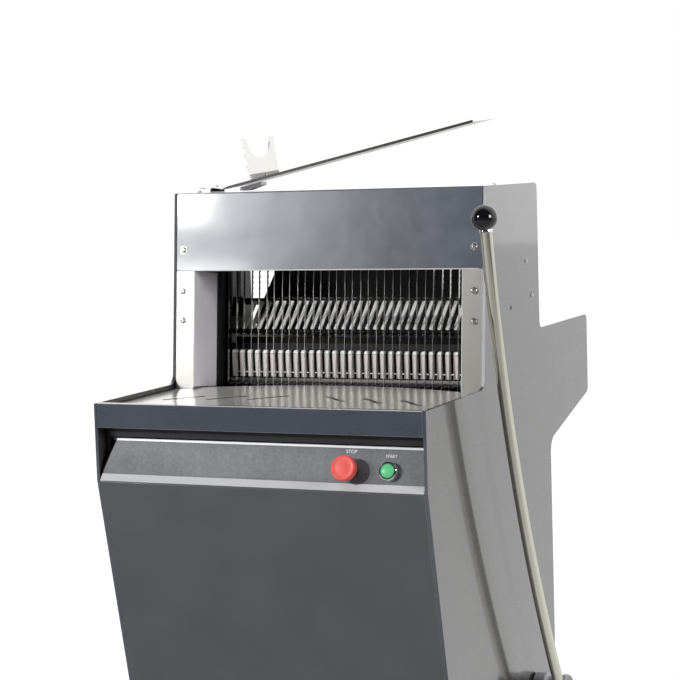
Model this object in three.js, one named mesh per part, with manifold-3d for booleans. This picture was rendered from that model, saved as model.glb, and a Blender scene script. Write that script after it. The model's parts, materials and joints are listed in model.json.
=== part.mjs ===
// A motor driven bread slicing machine, fed by a long hand lever.
// Millimetres. X runs to the right, Y to the rear and Z up.
// While it is built, Y = 0 and Z = 0 lie on the top edge of the apron, under the user's hands.
// The finished group is then moved so that its origin is the middle of its footprint, on the floor.

import * as THREE from 'three';
import { mergeVertices } from 'three/addons/utils/BufferGeometryUtils.js';
import Module from 'manifold-3d';

const wasm = await Module();
wasm.setup();

// Body outline, seen from the side
const machineWidth = 575;
const footHeight = 68;
const bodyDrop = 812;
const towerFootDepth = 267;
const towerTopDepth = 301;
const towerHeight = 330;
const towerRearDepth = 567;
const troughRearDepth = 861;
const troughWallHeight = 74;
const troughUnderside = 72.5;
const bellyDepth = 618;
const bellyTopDrop = 133;
const frontFoldDrop = 126;
const frontKneeDrop = 600;
const frontKneeDepth = 102;
const towerFootFillet = 20;
const towerRearFillet = 12;
const troughCornerRadius = 12;
const bellyFillet = 30;
const panelCornerRadius = 3;
const towerCornerRadius = 12;

// Sheet metal and gaps
const panelDepth = 5.5;
const panelSheet = 1.5;
const coverSheet = 1.5;
const seatGap = 0.3;
const cutOverrun = 2;
const arcStep = Math.PI / 12;
const roundSides = 24;

// Steel frame plates inside the side panels
const framePlate = 6;
const frameInset = 12;
const frameTowerInset = 1.8;
const frameCornerRadius = 4;

// Apron, control panel and front cover
const apronFace = 40;
const apronFlange = 12;
const apronReturn = 27;
const apronBackFace = 18;
const controlTopDepth = 25;
const controlTopDrop = 60.5;
const controlFootDepth = 7.5;
const controlFootDrop = 116;
const controlEndMitre = 22;
const controlFlange = 14;
const frontCoverFoot = 640;
const frontCoverFlange = 10;

// Tables
const tableDrop = 9;
const tableSheet = 2;
const outfeedRearDepth = 356;
const outfeedRearBow = 62;
const outfeedFrontGap = 2;
const tableSideGap = 1.6;
const slitLength = 74;
const slitWidth = 2.6;
const slitAngle = 41 * Math.PI / 180;
const slitPlaces = [[60, 180], [131, 167], [204, 152]];
const infeedFrontDepth = 388;
const infeedRearBand = 64.2;
const infeedToothReach = 22;
const infeedShoulderDepth = 396;

// Blades
const bladePitch = 15;
const bladeThickness = 0.6;
const bladeWidth = 12;
const bladePlaneA = 98;
const bladePlaneB = 100.2;
const barDepth = 14;
const barHeight = 30;
const barLap = 0.5;
const barHalfLength = 256;
const barTopRise = 64;
const barBottomDrop = 125;
const postWidth = 7;
const postPlace = 240;

// Guide tracks for the blade frames
const trackInner = 250.5;
const lowerTrackOuter = 264;
const trackRunGap = 0.6;
const trackWall = 4;
const trackBlockHeight = 78;

// Drive
const crankDrop = 278;
const crankShaftRadius = 10;
const crankShaftHalf = 45;
const crankDiscRadius = 30;
const crankDiscWidth = 10;
const crankPinRadius = 8;
const crankPinLength = 4.5;
const crankPulleyRadius = 62;
const motorPulleyRadius = 31;
const pulleyWidth = 20;
const beltThickness = 4;
const beltWidth = 16;
const bearingWidth = 14;
const bearingGap = 23;
const bearingWall = 9;
const bearingFoot = 12;
const rodWidth = 14;
const rodThickness = 8;
const rodEyeRadius = 17;
const rodPinGap = 0.6;
const rodEndGap = 0.5;
const drivePlateThickness = 8;
const drivePlateFront = 250;
const drivePlateStep = 384;
const drivePlateNarrow = 255;
const drivePlateRear = 598;
const drivePlateLip = 612;
const motorDepth = 528;
const motorRadius = 60;
const motorLength = 190;
const motorShaftRadius = 9;
const motorShaftTail = 8;
const motorFootWidth = 90;
const motorBodyGap = 26;

// Columns and top front panel, measured up the slope of the tower
const columnInner = 247;
const columnDepth = 92;
const columnReturn = 8;
const columnFoot = 9.3;
const topPanelHeight = 134.75;
const topPanelFlange = 12;
const columnTopGap = 0.4;

// Tower and rear covers
const towerCoverGap = 2;
const towerCoverFold = 14;
const towerRearDrop = 118;
const rearWallTop = 42;
const rearWallFlange = 10;

// Base, feet and crumb drawer
const baseSheet = 2;
const baseFlange = 12;
const basePanFrontGap = 3;
const runnerHeight = 14;
const runnerWidth = 20;
const runnerPlace = 225;
const footPadRadius = 30;
const footPadHeight = 14;
const footStemRadius = 8;
const footNutRadius = 14;
const footNutHeight = 9;
const footPlaceX = 235;
const footPlaceFront = 140;
const footPlaceRear = 582;
const drawerHalfWidth = 243;
const drawerHeight = 128;
const drawerLength = 440;
const drawerSheet = 1.5;
const drawerFrontSheet = 2;
const drawerFrontGap = 1;
const drawerTravel = 330;
const handleSpan = 150;
const handleReach = 26;
const handleRadius = 6;
const handleBend = 14;

// Lever, its cross shaft and its swing arms
const leverPivotDepth = 495;
const leverPivotDrop = 560;
const leverPlaneGap = 48;
const leverRadius = 9.5;
const leverBow = 45;
const ballRadius = 20.25;
const ballDepth = 149.3;
const ballHeight = 282.7;
const ballSocket = 6;
const hubRadius = 32;
const hubStandoff = 2;
const hubOvershoot = 14;
const leverShaftRadius = 12.5;
const leverBossRadius = 22;
const leverRunGap = 0.3;
const armThickness = 6;
const armOuter = 272;
const armHubRadius = 26;
const armNeck = 17;
const forkProng = 7;
const forkSideGap = 4;
const forkEndGap = 6;
const forkLead = 3;
const armTaperShare = 0.75;

// Pusher
const pinRestDepth = 280;
const fingerFace = 386;
const fingerLength = 30;
const fingerWidth = 8;
const fingerHeight = 47;
const fingerFoot = 1;
const fingerRail = 6;
const backPlate = 6;
const backPlateFoot = 5;
const backPlateTop = 58;
const carriagePlate = 4;
const carriageOuter = 260;
const riserFront = 406;
const riserTopDepth = 18;
const riserFootDepth = 46;
const riserTop = 70;
const carriageBarTop = 32;
const carriageBarFoot = 60;
const pinDrop = 72;
const pinRadius = 5;
const pinBossRadius = 14;
const pinReach = 14;
const railRadius = 6.5;
const railPlace = 245;
const railDrop = 45;
const railRunGap = 0.4;
const slideFront = 412;
const slideLength = 44;
const slideHalfWidth = 8;
const slideHalfHeight = 13;
const riserSlotGap = 3;

// Cross bars
const frontBarFront = 395;
const frontBarThickness = 9;
const frontBarFoot = 24;
const railEarHalf = 10;
const railEarFoot = 58;
const rearBarThickness = 9;
const rearBarFoot = 60;

// Hold-down, measured along and up the slope of the tower
const holdRodPlace = 262;
const holdRodRadius = 5;
const holdRodRunGap = 0.4;
const holdBarDepth = 202.5;
const holdBarHeight = 148.6;
const holdBarSize = 14;
const holdBarHalf = 271;
const holdTipDepth = 141;
const holdTipHeight = 94;
const holdTipRadius = 4;
const holdTipHalf = 250;
const holdFingerWidth = 5;
const holdFingerDepth = 4;
const holdFingerCount = 31;
const holdLift = 110;
const holdRodTopGap = 6.75;
const holdLugHeight = 20;
const holdLugInner = 255;
const holdLugDepth = 18;

// Flap at the back of the tower
const flapTopGap = 22;
const flapFoot = 80;
const flapDepth = 560;
const flapSheet = 2;
const flapTopHalf = 218;
const flapFootHalf = 272;
const flapRodRadius = 5;

// Buttons
const stopPlace = 155;
const startPlace = 221.6;
const buttonShare = 0.65;
const stopCapRadius = 20;
const stopCapHeight = 13;
const stopNeckRadius = 9;
const stopCollarRadius = 15;
const stopCollarHeight = 12;
const stopTravel = 6;
const capCrownShares = [[0.9, 0], [1, 0.3], [1, 0.55], [0.9, 0.82], [0.6, 0.96], [0, 1]];
const startCapRadius = 11;
const startCapHeight = 3;
const startTravel = 3;
const bezelRadius = 14.75;
const bezelHeight = 12;
const bezelWall = 3;
const buttonHoleRadius = 11.2;
const buttonBodyRadius = 10.9;
const contactBlock = 30;
const contactBlockDepth = 40;
const buttonNeckReach = 6;

// Bagging scoop on the tower
const scoopFront = 322;
const scoopDepth = 118;
const scoopSheet = 2;
const scoopTongueRadius = 34;
const scoopBendX = -203;
const scoopLength = 472.5;
const scoopSlope = 12.15 * Math.PI / 180;
const scoopTilt = 3.15 * Math.PI / 180;
const scoopLip = 4.5;
const scoopClear = 5;
const scoopPivotX = -244.5;
const scoopPivotRadius = 13;
const scoopBlockLength = 52;
const scoopBlockWidth = 40;
const scoopBlockHeight = 14;
const scoopBlockStart = 11;
const forkPlateAt = 54.2;
const forkPlateTilt = 4.5 * Math.PI / 180;
const forkPlateHeight = 74;
const forkPlateWidth = 112;
const forkPlateTopWidth = 128;
const forkNotchDepth = 34;
const forkNotchHalf = 24;
const forkTipHalf = 40;
const forkCurveShare = 0.7;
const motorFootShare = 0.25;

// Sizes that follow
const half = machineWidth / 2;
const panelInner = half - panelDepth;
const coverHalf = panelInner - seatGap;
const frameOuter = panelInner - seatGap;
const frameInner = frameOuter - framePlate;
const innerHalf = frameInner - seatGap;
const lean = Math.atan2(towerTopDepth - towerFootDepth, towerHeight);
const towerSlope = towerHeight / Math.cos(lean);
const windowHeight = towerSlope - topPanelHeight;
const barTopHeight = windowHeight + barTopRise;
const holdRodTop = towerSlope - holdRodTopGap;
const flapTop = towerHeight - towerRearDrop - flapTopGap;
const infeedRearDepth = troughRearDepth - coverSheet - seatGap;
const pusherTravel = infeedRearDepth - infeedRearBand - riserFront - riserFootDepth - riserSlotGap;
const leverPlane = half + leverPlaneGap;
const pinRadiusPath = leverPivotDrop - pinDrop;
const swingForward = Math.atan2(leverPivotDepth - pinRestDepth + forkLead, pinRadiusPath);
const barInnerA = bladePlaneA + barLap;
const barInnerB = bladePlaneB + bladeWidth - barLap;
const bladeCount = 2 * Math.floor((postPlace - postWidth / 2) / bladePitch + 1 / 2);
const fingerCount = bladeCount - 1;
const crankPlane = (barInnerA - barDepth + barInnerB + barDepth) / 2;
const rodPlaneA = barInnerA - barDepth / 2;
const rodPlaneB = barInnerB + barDepth / 2;
const crankThrow = (rodPlaneB - rodPlaneA) / 2;
const crankDepth = towerFootDepth + crankPlane * Math.cos(lean) - crankDrop * Math.sin(lean);
const crankHeight = -crankPlane * Math.sin(lean) - crankDrop * Math.cos(lean);
const drivePlateTop = crankHeight - crankPulleyRadius - beltThickness - bearingFoot;
const motorHeight = drivePlateTop + motorRadius + bearingFoot;

// The colours and finishes of the real machine
const finishes = {
  paint: { color: 0x4a4f58, roughness: 0.22, metalness: 0.3 },
  innerPaint: { color: 0x3a3e46, roughness: 0.4, metalness: 0.2 },
  control: { color: 0x74767b, roughness: 0.3, metalness: 0.2 },
  stainless: { color: 0xb9b7b2, roughness: 0.3, metalness: 1 },
  polished: { color: 0xd0d0cc, roughness: 0.12, metalness: 1 },
  blade: { color: 0xc8c8c6, roughness: 0.25, metalness: 1 },
  steel: { color: 0x8a8c90, roughness: 0.45, metalness: 0.9 },
  castIron: { color: 0x3f4246, roughness: 0.6, metalness: 0.6 },
  motorPaint: { color: 0x34506b, roughness: 0.5, metalness: 0.2 },
  black: { color: 0x17181a, roughness: 0.3, metalness: 0 },
  rubber: { color: 0x1c1c1c, roughness: 0.8, metalness: 0 },
  red: { color: 0xd8231c, roughness: 0.35, metalness: 0 },
  green: { color: 0x1f9d55, roughness: 0.25, metalness: 0 },
};

// Points along an outline whose corners are [a, b, radius]; a corner with no radius stays sharp
function roundedOutline(corners) {
  const points = [];
  corners.forEach(([a, b, radius = 0], index) => {
    const corner = new THREE.Vector2(a, b);
    if (radius === 0) {
      points.push(corner);
      return;
    }
    const before = corners[(index + corners.length - 1) % corners.length];
    const after = corners[(index + 1) % corners.length];
    const inward = new THREE.Vector2(before[0], before[1]).sub(corner).normalize();
    const outward = new THREE.Vector2(after[0], after[1]).sub(corner).normalize();
    const angle = Math.acos(inward.dot(outward));
    const reach = radius / Math.tan(angle / 2);
    const centre = inward.clone().add(outward).normalize().multiplyScalar(radius / Math.sin(angle / 2)).add(corner);
    const start = corner.clone().addScaledVector(inward, reach).sub(centre);
    const end = corner.clone().addScaledVector(outward, reach).sub(centre);
    const turn = Math.atan2(start.cross(end), start.dot(end));
    const steps = Math.max(2, Math.ceil(Math.abs(turn) / arcStep));
    for (let step = 0; step <= steps; step += 1) {
      points.push(start.clone().rotateAround(new THREE.Vector2(), turn * step / steps).add(centre));
    }
  });
  return points;
}

// An open line of [a, b, radius] corners given a thickness on its left side: a bent sheet seen edge on
function bentSheet(line, thickness) {
  const points = roundedOutline(line);
  const normals = points.slice(1).map((point, index) => {
    const run = point.clone().sub(points[index]).normalize();
    return new THREE.Vector2(-run.y, run.x);
  });
  const inner = points.map((point, index) => {
    const first = normals[Math.max(index - 1, 0)];
    const second = normals[Math.min(index, normals.length - 1)];
    const mitre = first.clone().add(second);
    return point.clone().addScaledVector(mitre, 2 * thickness / mitre.lengthSq());
  });
  return [...points, ...inner.reverse()];
}

// The same outline moved inwards by a distance; the outline runs counterclockwise
function insetOutline(points, distance) {
  return points.map((point, index) => {
    const before = points[(index + points.length - 1) % points.length];
    const after = points[(index + 1) % points.length];
    const runIn = point.clone().sub(before).normalize();
    const runOut = after.clone().sub(point).normalize();
    const mitre = new THREE.Vector2(-runIn.y - runOut.y, runIn.x + runOut.x);
    return point.clone().addScaledVector(mitre, 2 * distance / mitre.lengthSq());
  });
}

const axes = {
  x: new THREE.Vector3(1, 0, 0),
  y: new THREE.Vector3(0, 1, 0),
  z: new THREE.Vector3(0, 0, 1),
};

// Prisms: an outline drawn in (Y, Z), (X, Z) or (X, Y) and run along the third axis between two places
function prism(points, low, high, basis) {
  const geometry = new THREE.ExtrudeGeometry(new THREE.Shape(points), { depth: high - low, bevelEnabled: false });
  geometry.translate(0, 0, low);
  geometry.applyMatrix4(basis);
  return geometry;
}

function prismX(points, low, high) {
  return prism(points, low, high, new THREE.Matrix4().makeBasis(axes.y, axes.z, axes.x));
}

function prismY(points, low, high) {
  return prism(points, -high, -low, new THREE.Matrix4().makeBasis(axes.x, axes.z, axes.y.clone().negate()));
}

function prismZ(points, low, high) {
  return prism(points, low, high, new THREE.Matrix4());
}

function block(x, y, z) {
  const geometry = new THREE.BoxGeometry(x[1] - x[0], y[1] - y[0], z[1] - z[0]);
  geometry.translate((x[0] + x[1]) / 2, (y[0] + y[1]) / 2, (z[0] + z[1]) / 2);
  return geometry;
}

function cylinderX(radius, low, high, y, z, sides = roundSides) {
  const geometry = new THREE.CylinderGeometry(radius, radius, high - low, sides);
  geometry.rotateZ(-Math.PI / 2);
  geometry.translate((low + high) / 2, y, z);
  return geometry;
}

function cylinderY(radius, low, high, x, z, sides = roundSides) {
  const geometry = new THREE.CylinderGeometry(radius, radius, high - low, sides);
  geometry.translate(x, (low + high) / 2, z);
  return geometry;
}

function cylinderZ(radius, low, high, x, y, sides = roundSides) {
  const geometry = new THREE.CylinderGeometry(radius, radius, high - low, sides);
  geometry.rotateX(Math.PI / 2);
  geometry.translate(x, y, (low + high) / 2);
  return geometry;
}

// A profile of [radius, height] points turned about Z
function turned(profile, sides = roundSides) {
  const points = profile.map(([radius, height]) => new THREE.Vector2(radius, height));
  const geometry = new THREE.LatheGeometry(points, sides);
  geometry.rotateX(Math.PI / 2);
  return geometry;
}

// Joins and cuts
function asManifold(source) {
  const geometry = source.clone();
  geometry.deleteAttribute('normal');
  geometry.deleteAttribute('uv');
  const merged = mergeVertices(geometry);
  return new wasm.Manifold(new wasm.Mesh({
    numProp: 3,
    vertProperties: new Float32Array(merged.attributes.position.array),
    triVerts: new Uint32Array(merged.index.array),
  }));
}

function asGeometry(solid) {
  const mesh = solid.getMesh();
  const geometry = new THREE.BufferGeometry();
  geometry.setAttribute('position', new THREE.BufferAttribute(new Float32Array(mesh.vertProperties), 3));
  geometry.setIndex(new THREE.BufferAttribute(new Uint32Array(mesh.triVerts), 1));
  geometry.computeVertexNormals();
  return geometry;
}

function join(...parts) {
  return asGeometry(parts.map(asManifold).reduce((whole, part) => whole.add(part)));
}

function cut(part, ...tools) {
  return asGeometry(tools.map(asManifold).reduce((whole, tool) => whole.subtract(tool), asManifold(part)));
}

// The same piece on the other side of the machine
function mirrored(geometry) {
  const copy = geometry.index ? geometry.toNonIndexed() : geometry.clone();
  copy.deleteAttribute('normal');
  copy.deleteAttribute('uv');
  const position = copy.attributes.position;
  for (let corner = 0; corner < position.count; corner += 3) {
    const points = [0, 1, 2].map((step) => new THREE.Vector3().fromBufferAttribute(position, corner + step));
    [points[0], points[2], points[1]].forEach((point, step) => {
      position.setXYZ(corner + step, -point.x, point.y, point.z);
    });
  }
  const merged = mergeVertices(copy);
  merged.computeVertexNormals();
  return merged;
}

const machine = new THREE.Group();
const leaning = new THREE.Group();
leaning.position.y = towerFootDepth;
leaning.rotation.x = -lean;
machine.add(leaning);

function add(name, geometry, finish, parent = machine) {
  const mesh = new THREE.Mesh(geometry, new THREE.MeshStandardMaterial(finishes[finish]));
  mesh.name = name;
  parent.add(mesh);
  return mesh;
}

// Side panels: pans of sheet, open towards the frame
function sidePanel() {
  const outline = roundedOutline([
    [0, 0],
    [0, -frontFoldDrop],
    [frontKneeDepth, -frontKneeDrop],
    [frontKneeDepth, -bodyDrop, panelCornerRadius],
    [bellyDepth, -bodyDrop, panelCornerRadius],
    [bellyDepth, -bellyTopDrop, bellyFillet],
    [troughRearDepth, -troughUnderside, troughCornerRadius],
    [troughRearDepth, troughWallHeight, troughCornerRadius],
    [towerRearDepth, troughWallHeight, towerRearFillet],
    [towerRearDepth, towerHeight, towerCornerRadius],
    [towerTopDepth, towerHeight, panelCornerRadius],
    [towerFootDepth, 0, towerFootFillet],
  ]);
  const pan = prismX(outline, panelInner, half);
  return cut(pan, prismX(insetOutline(outline, panelSheet), panelInner - cutOverrun, half - panelSheet));
}

const plainPanel = sidePanel();
const shaftHole = cylinderX(
  leverShaftRadius + hubStandoff, panelInner, half + cutOverrun, leverPivotDepth, -leverPivotDrop,
);
add('side_panel_right', cut(plainPanel, shaftHole), 'paint');
add('side_panel_left', mirrored(plainPanel), 'paint');

// Frame plates: heavy steel plates that carry everything, each with a lug for a hold-down rod and a
// boss that is the cross shaft's bearing
const leanMatrix = new THREE.Matrix4().makeRotationX(-lean).setPosition(0, towerFootDepth, 0);
function framePlateRight() {
  const tableFoot = -tableDrop - tableSheet - seatGap;
  const towerFront = towerFootDepth + frameTowerInset / Math.cos(lean);
  const towerFrontTop = towerTopDepth + frameTowerInset / Math.cos(lean);
  const outline = roundedOutline([
    [apronReturn + coverSheet + seatGap, tableFoot],
    [apronReturn + coverSheet + seatGap, -frontFoldDrop - frameInset, frameCornerRadius],
    [frontKneeDepth + frameInset, -frontKneeDrop - frameInset, frameCornerRadius],
    [frontKneeDepth + frameInset, -bodyDrop + baseSheet + seatGap],
    [bellyDepth - coverSheet - seatGap, -bodyDrop + baseSheet + seatGap],
    [bellyDepth - coverSheet - seatGap, -bellyTopDrop + frameInset, frameCornerRadius],
    [troughRearDepth - frameInset, -troughUnderside + frameInset, frameCornerRadius],
    [troughRearDepth - frameInset, troughWallHeight - frameInset, frameCornerRadius],
    [towerRearDepth - coverSheet - seatGap, troughWallHeight - frameInset],
    [
      towerRearDepth - coverSheet - seatGap, towerHeight - coverSheet - seatGap,
      towerCornerRadius - coverSheet - seatGap,
    ],
    [towerFrontTop - coverSheet * Math.tan(lean), towerHeight - coverSheet - seatGap],
    [towerFront, 0],
    [towerFront, tableFoot],
  ]);
  const plate = prismX(outline, frameInner, frameOuter);
  const lug = block(
    [holdLugInner, frameInner + cutOverrun],
    [holdBarDepth - holdLugDepth / 2, holdBarDepth + holdLugDepth / 2],
    [holdBarHeight - holdBarSize / 2 - holdLugHeight - seatGap, holdBarHeight - holdBarSize / 2 - seatGap],
  );
  const lugHole = cylinderZ(holdRodRadius + seatGap, 0, holdBarHeight, holdRodPlace, holdBarDepth);
  const leaningLug = cut(lug, lugHole).applyMatrix4(leanMatrix);
  const bossInner = armOuter + leverRunGap;
  const boss = cylinderX(leverBossRadius, bossInner, frameInner + cutOverrun, leverPivotDepth, -leverPivotDrop);
  const bore = cylinderX(
    leverShaftRadius + leverRunGap, bossInner - cutOverrun, frameOuter + cutOverrun,
    leverPivotDepth, -leverPivotDrop,
  );
  return cut(join(plate, leaningLug, boss), bore);
}

const rightFrame = framePlateRight();
add('frame_plate_right', rightFrame, 'innerPaint');
add('frame_plate_left', mirrored(rightFrame), 'innerPaint');

// Apron, control panel and front cover: bent sheets between the side panels
add('apron', prismX(bentSheet([
  [apronReturn, -apronFace - apronBackFace],
  [apronReturn, -apronFace],
  [0, -apronFace],
  [0, 0],
  [apronFlange, 0],
].reverse(), coverSheet), -coverHalf, coverHalf), 'paint');

const controlFace = new THREE.Vector2(controlTopDepth - controlFootDepth, controlFootDrop - controlTopDrop);
const controlLength = controlFace.length();
const controlTilt = Math.atan2(controlFace.x, controlFace.y);

// A piece made about its own axis, out of the control face at a place along it
function onControlFace(geometry, x) {
  const along = controlLength * buttonShare;
  geometry.rotateX(Math.PI / 2 - controlTilt);
  geometry.translate(
    x,
    controlTopDepth - along * Math.sin(controlTilt),
    -controlTopDrop - along * Math.cos(controlTilt),
  );
  return geometry;
}

function controlPanel() {
  const sheet = prismX(bentSheet([
    [controlTopDepth + controlFlange, -controlTopDrop],
    [controlTopDepth, -controlTopDrop],
    [controlFootDepth, -controlFootDrop],
    [0, -frontFoldDrop],
    [controlFlange, -frontFoldDrop],
  ], coverSheet), -coverHalf, coverHalf);
  const top = -controlTopDrop + cutOverrun;
  const foot = -controlFootDrop;
  const mitre = prismY([
    new THREE.Vector2(coverHalf - controlEndMitre, top),
    new THREE.Vector2(coverHalf, foot),
    new THREE.Vector2(half, foot),
    new THREE.Vector2(half, top),
  ], -controlTopDepth, controlTopDepth + controlFlange + cutOverrun);
  const holes = [stopPlace, startPlace].map((place) => onControlFace(
    cylinderZ(buttonHoleRadius, -controlFlange / 2, controlFlange / 2, 0, 0), place,
  ));
  const frameNotch = block(
    [innerHalf, half],
    [apronReturn + coverSheet, controlTopDepth + controlFlange + cutOverrun],
    [-controlTopDrop - coverSheet - cutOverrun, -controlTopDrop + cutOverrun],
  );
  return cut(sheet, mirrored(mitre), frameNotch, ...holes);
}

add('control_panel', controlPanel(), 'control');

add('front_cover', prismX(bentSheet([
  [frontCoverFlange, -frontFoldDrop - coverSheet - seatGap],
  [0, -frontFoldDrop - coverSheet - seatGap],
  [frontKneeDepth, -frontKneeDrop],
  [frontKneeDepth, -frontCoverFoot],
  [frontKneeDepth + frontCoverFlange, -frontCoverFoot],
], coverSheet), -coverHalf, coverHalf), 'paint');

// Outfeed table: a plate that narrows between the columns, with a bowed rear edge and crumb slits
function outfeedTable() {
  const neck = columnInner - tableSideGap;
  const shoulder = towerFootDepth - tableSideGap;
  const corner = outfeedRearDepth - outfeedRearBow;
  const bowRadius = (neck * neck + outfeedRearBow * outfeedRearBow) / (2 * outfeedRearBow);
  const bowHalfAngle = Math.asin(neck / bowRadius);
  const bowSteps = 24;
  const bow = Array.from({ length: bowSteps + 1 }, (_, step) => {
    const angle = bowHalfAngle * (1 - 2 * step / bowSteps);
    return new THREE.Vector2(
      bowRadius * Math.sin(angle),
      corner + bowRadius * (Math.cos(angle) - Math.cos(bowHalfAngle)),
    );
  });
  const outline = [
    new THREE.Vector2(-coverHalf, outfeedFrontGap),
    new THREE.Vector2(coverHalf, outfeedFrontGap),
    new THREE.Vector2(coverHalf, shoulder),
    new THREE.Vector2(neck, shoulder),
    ...bow,
    new THREE.Vector2(-neck, shoulder),
    new THREE.Vector2(-coverHalf, shoulder),
  ];
  const plate = prismZ(outline, -tableDrop - tableSheet, -tableDrop);
  const slits = slitPlaces.flatMap(([x, y]) => [-1, 1].map((side) => {
    const slit = block(
      [-slitLength / 2, slitLength / 2],
      [-slitWidth / 2, slitWidth / 2],
      [-tableDrop - tableSheet - cutOverrun, -tableDrop + cutOverrun],
    );
    slit.rotateZ(-side * slitAngle);
    slit.translate(side * x, y, 0);
    return slit;
  }));
  return cut(plate, ...slits);
}

add('outfeed_table', outfeedTable(), 'polished');

// Infeed table: teeth reach between the blades, and two slots let the carriage plates through
function infeedTable() {
  const level = [-tableDrop - tableSheet, -tableDrop];
  const toothHalf = fingerWidth / 2;
  const toothedHalf = (fingerCount - 1) / 2 * bladePitch + toothHalf;
  const front = [];
  for (let index = 0; index < fingerCount; index += 1) {
    const x = (index - (fingerCount - 1) / 2) * bladePitch;
    front.push(
      new THREE.Vector2(x - toothHalf, infeedFrontDepth),
      new THREE.Vector2(x - toothHalf, infeedFrontDepth - infeedToothReach),
      new THREE.Vector2(x + toothHalf, infeedFrontDepth - infeedToothReach),
      new THREE.Vector2(x + toothHalf, infeedFrontDepth),
    );
  }
  front.shift();
  front.pop();
  const plate = prismZ([
    ...front,
    new THREE.Vector2(toothedHalf, infeedShoulderDepth),
    new THREE.Vector2(innerHalf, infeedShoulderDepth),
    new THREE.Vector2(innerHalf, infeedRearDepth),
    new THREE.Vector2(-innerHalf, infeedRearDepth),
    new THREE.Vector2(-innerHalf, infeedShoulderDepth),
    new THREE.Vector2(-toothedHalf, infeedShoulderDepth),
  ], ...level);
  const slot = block(
    [carriageOuter - carriagePlate - riserSlotGap, carriageOuter + riserSlotGap],
    [riserFront - riserSlotGap, riserFront + riserFootDepth + pusherTravel + riserSlotGap],
    [level[0] - cutOverrun, level[1] + cutOverrun],
  );
  return cut(plate, slot, mirrored(slot));
}

add('infeed_table', infeedTable(), 'stainless');

// Cross bars that carry the infeed table and the pusher's rails
function frontCrossBar() {
  const depths = [frontBarFront, frontBarFront + frontBarThickness];
  const beam = block([-innerHalf, innerHalf], depths, [-frontBarFoot, -tableDrop - tableSheet - seatGap]);
  const ear = block([railPlace - railEarHalf, railPlace + railEarHalf], depths, [-railEarFoot, -frontBarFoot + cutOverrun]);
  const seat = cylinderY(railRadius + seatGap, depths[0] - cutOverrun, depths[1] + cutOverrun, railPlace, -railDrop);
  const drilledEar = cut(ear, seat);
  return join(beam, drilledEar, mirrored(drilledEar));
}

add('front_cross_bar', frontCrossBar(), 'steel');

const rearBarRear = troughRearDepth - coverSheet - seatGap;
function rearCrossBar() {
  const depths = [rearBarRear - rearBarThickness, rearBarRear];
  const beam = block([-innerHalf, innerHalf], depths, [-rearBarFoot, -tableDrop - tableSheet - seatGap]);
  const seat = cylinderY(railRadius + seatGap, depths[0] - cutOverrun, depths[1] + cutOverrun, railPlace, -railDrop);
  return cut(beam, seat, mirrored(seat));
}

add('rear_cross_bar', rearCrossBar(), 'steel');

const rail = cylinderY(railRadius, frontBarFront + seatGap, rearBarRear - seatGap, railPlace, -railDrop);
add('pusher_rail_right', rail, 'polished');
add('pusher_rail_left', mirrored(rail), 'polished');

// Rear cover: up the back of the lower body, along under the trough, and up its rear wall
add('rear_cover', prismX(bentSheet([
  [bellyDepth, -bodyDrop + baseSheet + baseFlange + seatGap],
  [bellyDepth, -bellyTopDrop, bellyFillet],
  [troughRearDepth, -troughUnderside, troughCornerRadius],
  [troughRearDepth, rearWallTop],
  [troughRearDepth - rearWallFlange, rearWallTop],
], coverSheet), -coverHalf, coverHalf), 'paint');

// Tower covers
add('tower_top_cover', prismX(bentSheet([
  [towerRearDepth, towerHeight - towerCoverFold],
  [towerRearDepth, towerHeight, towerCornerRadius],
  [towerTopDepth + towerCoverGap, towerHeight],
], coverSheet), -coverHalf, coverHalf), 'paint');

add('tower_rear_cover', prismX(bentSheet([
  [towerRearDepth, towerHeight - towerRearDrop],
  [towerRearDepth, towerHeight - towerCoverFold - seatGap],
], coverSheet), -coverHalf, coverHalf), 'paint');

function topFrontPanel() {
  const sheet = prismX(bentSheet([
    [0, towerSlope - coverSheet],
    [0, windowHeight],
    [topPanelFlange, windowHeight],
  ], coverSheet), -coverHalf, coverHalf);
  const notch = block(
    [innerHalf, half],
    [coverSheet, topPanelFlange + cutOverrun],
    [windowHeight - cutOverrun, windowHeight + coverSheet + cutOverrun],
  );
  return cut(sheet, notch, mirrored(notch));
}

add('top_front_panel', topFrontPanel(), 'paint', leaning);

// Columns beside the window: a front plate, an inner side face and a short return
const column = prismZ(bentSheet([
  [coverHalf, 0],
  [columnInner, 0],
  [columnInner, columnDepth],
  [columnInner + columnReturn, columnDepth],
].reverse(), coverSheet), -columnFoot, windowHeight - columnTopGap);
add('column_right', column, 'stainless', leaning);
add('column_left', mirrored(column), 'stainless', leaning);

// Blade frames: two bars, two posts and every second blade
function bladeFrame(first, bladeFront, barInner, barOuter, rodX, rodPlane) {
  const bars = [barTopHeight, -barBottomDrop].map((height) => block(
    [-barHalfLength, barHalfLength],
    [Math.min(barInner, barOuter), Math.max(barInner, barOuter)],
    [height - barHeight / 2, height + barHeight / 2],
  ));
  const posts = [-1, 1].map((side) => block(
    [side * postPlace - postWidth / 2, side * postPlace + postWidth / 2],
    [Math.min(barInner, barOuter), Math.max(barInner, barOuter)],
    [-barBottomDrop, barTopHeight],
  ));
  const blades = [];
  for (let index = first; index < bladeCount; index += 2) {
    const x = (index - (bladeCount - 1) / 2) * bladePitch;
    blades.push(block(
      [x - bladeThickness / 2, x + bladeThickness / 2],
      [bladeFront, bladeFront + bladeWidth],
      [-barBottomDrop - barHeight / 2, barTopHeight + barHeight / 2],
    ));
  }
  return join(...bars, ...posts, ...blades);
}

add('blade_frame_a', bladeFrame(0, bladePlaneA, barInnerA, barInnerA - barDepth), 'blade', leaning);
add('blade_frame_b', bladeFrame(1, bladePlaneB, barInnerB, barInnerB + barDepth), 'blade', leaning);

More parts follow.
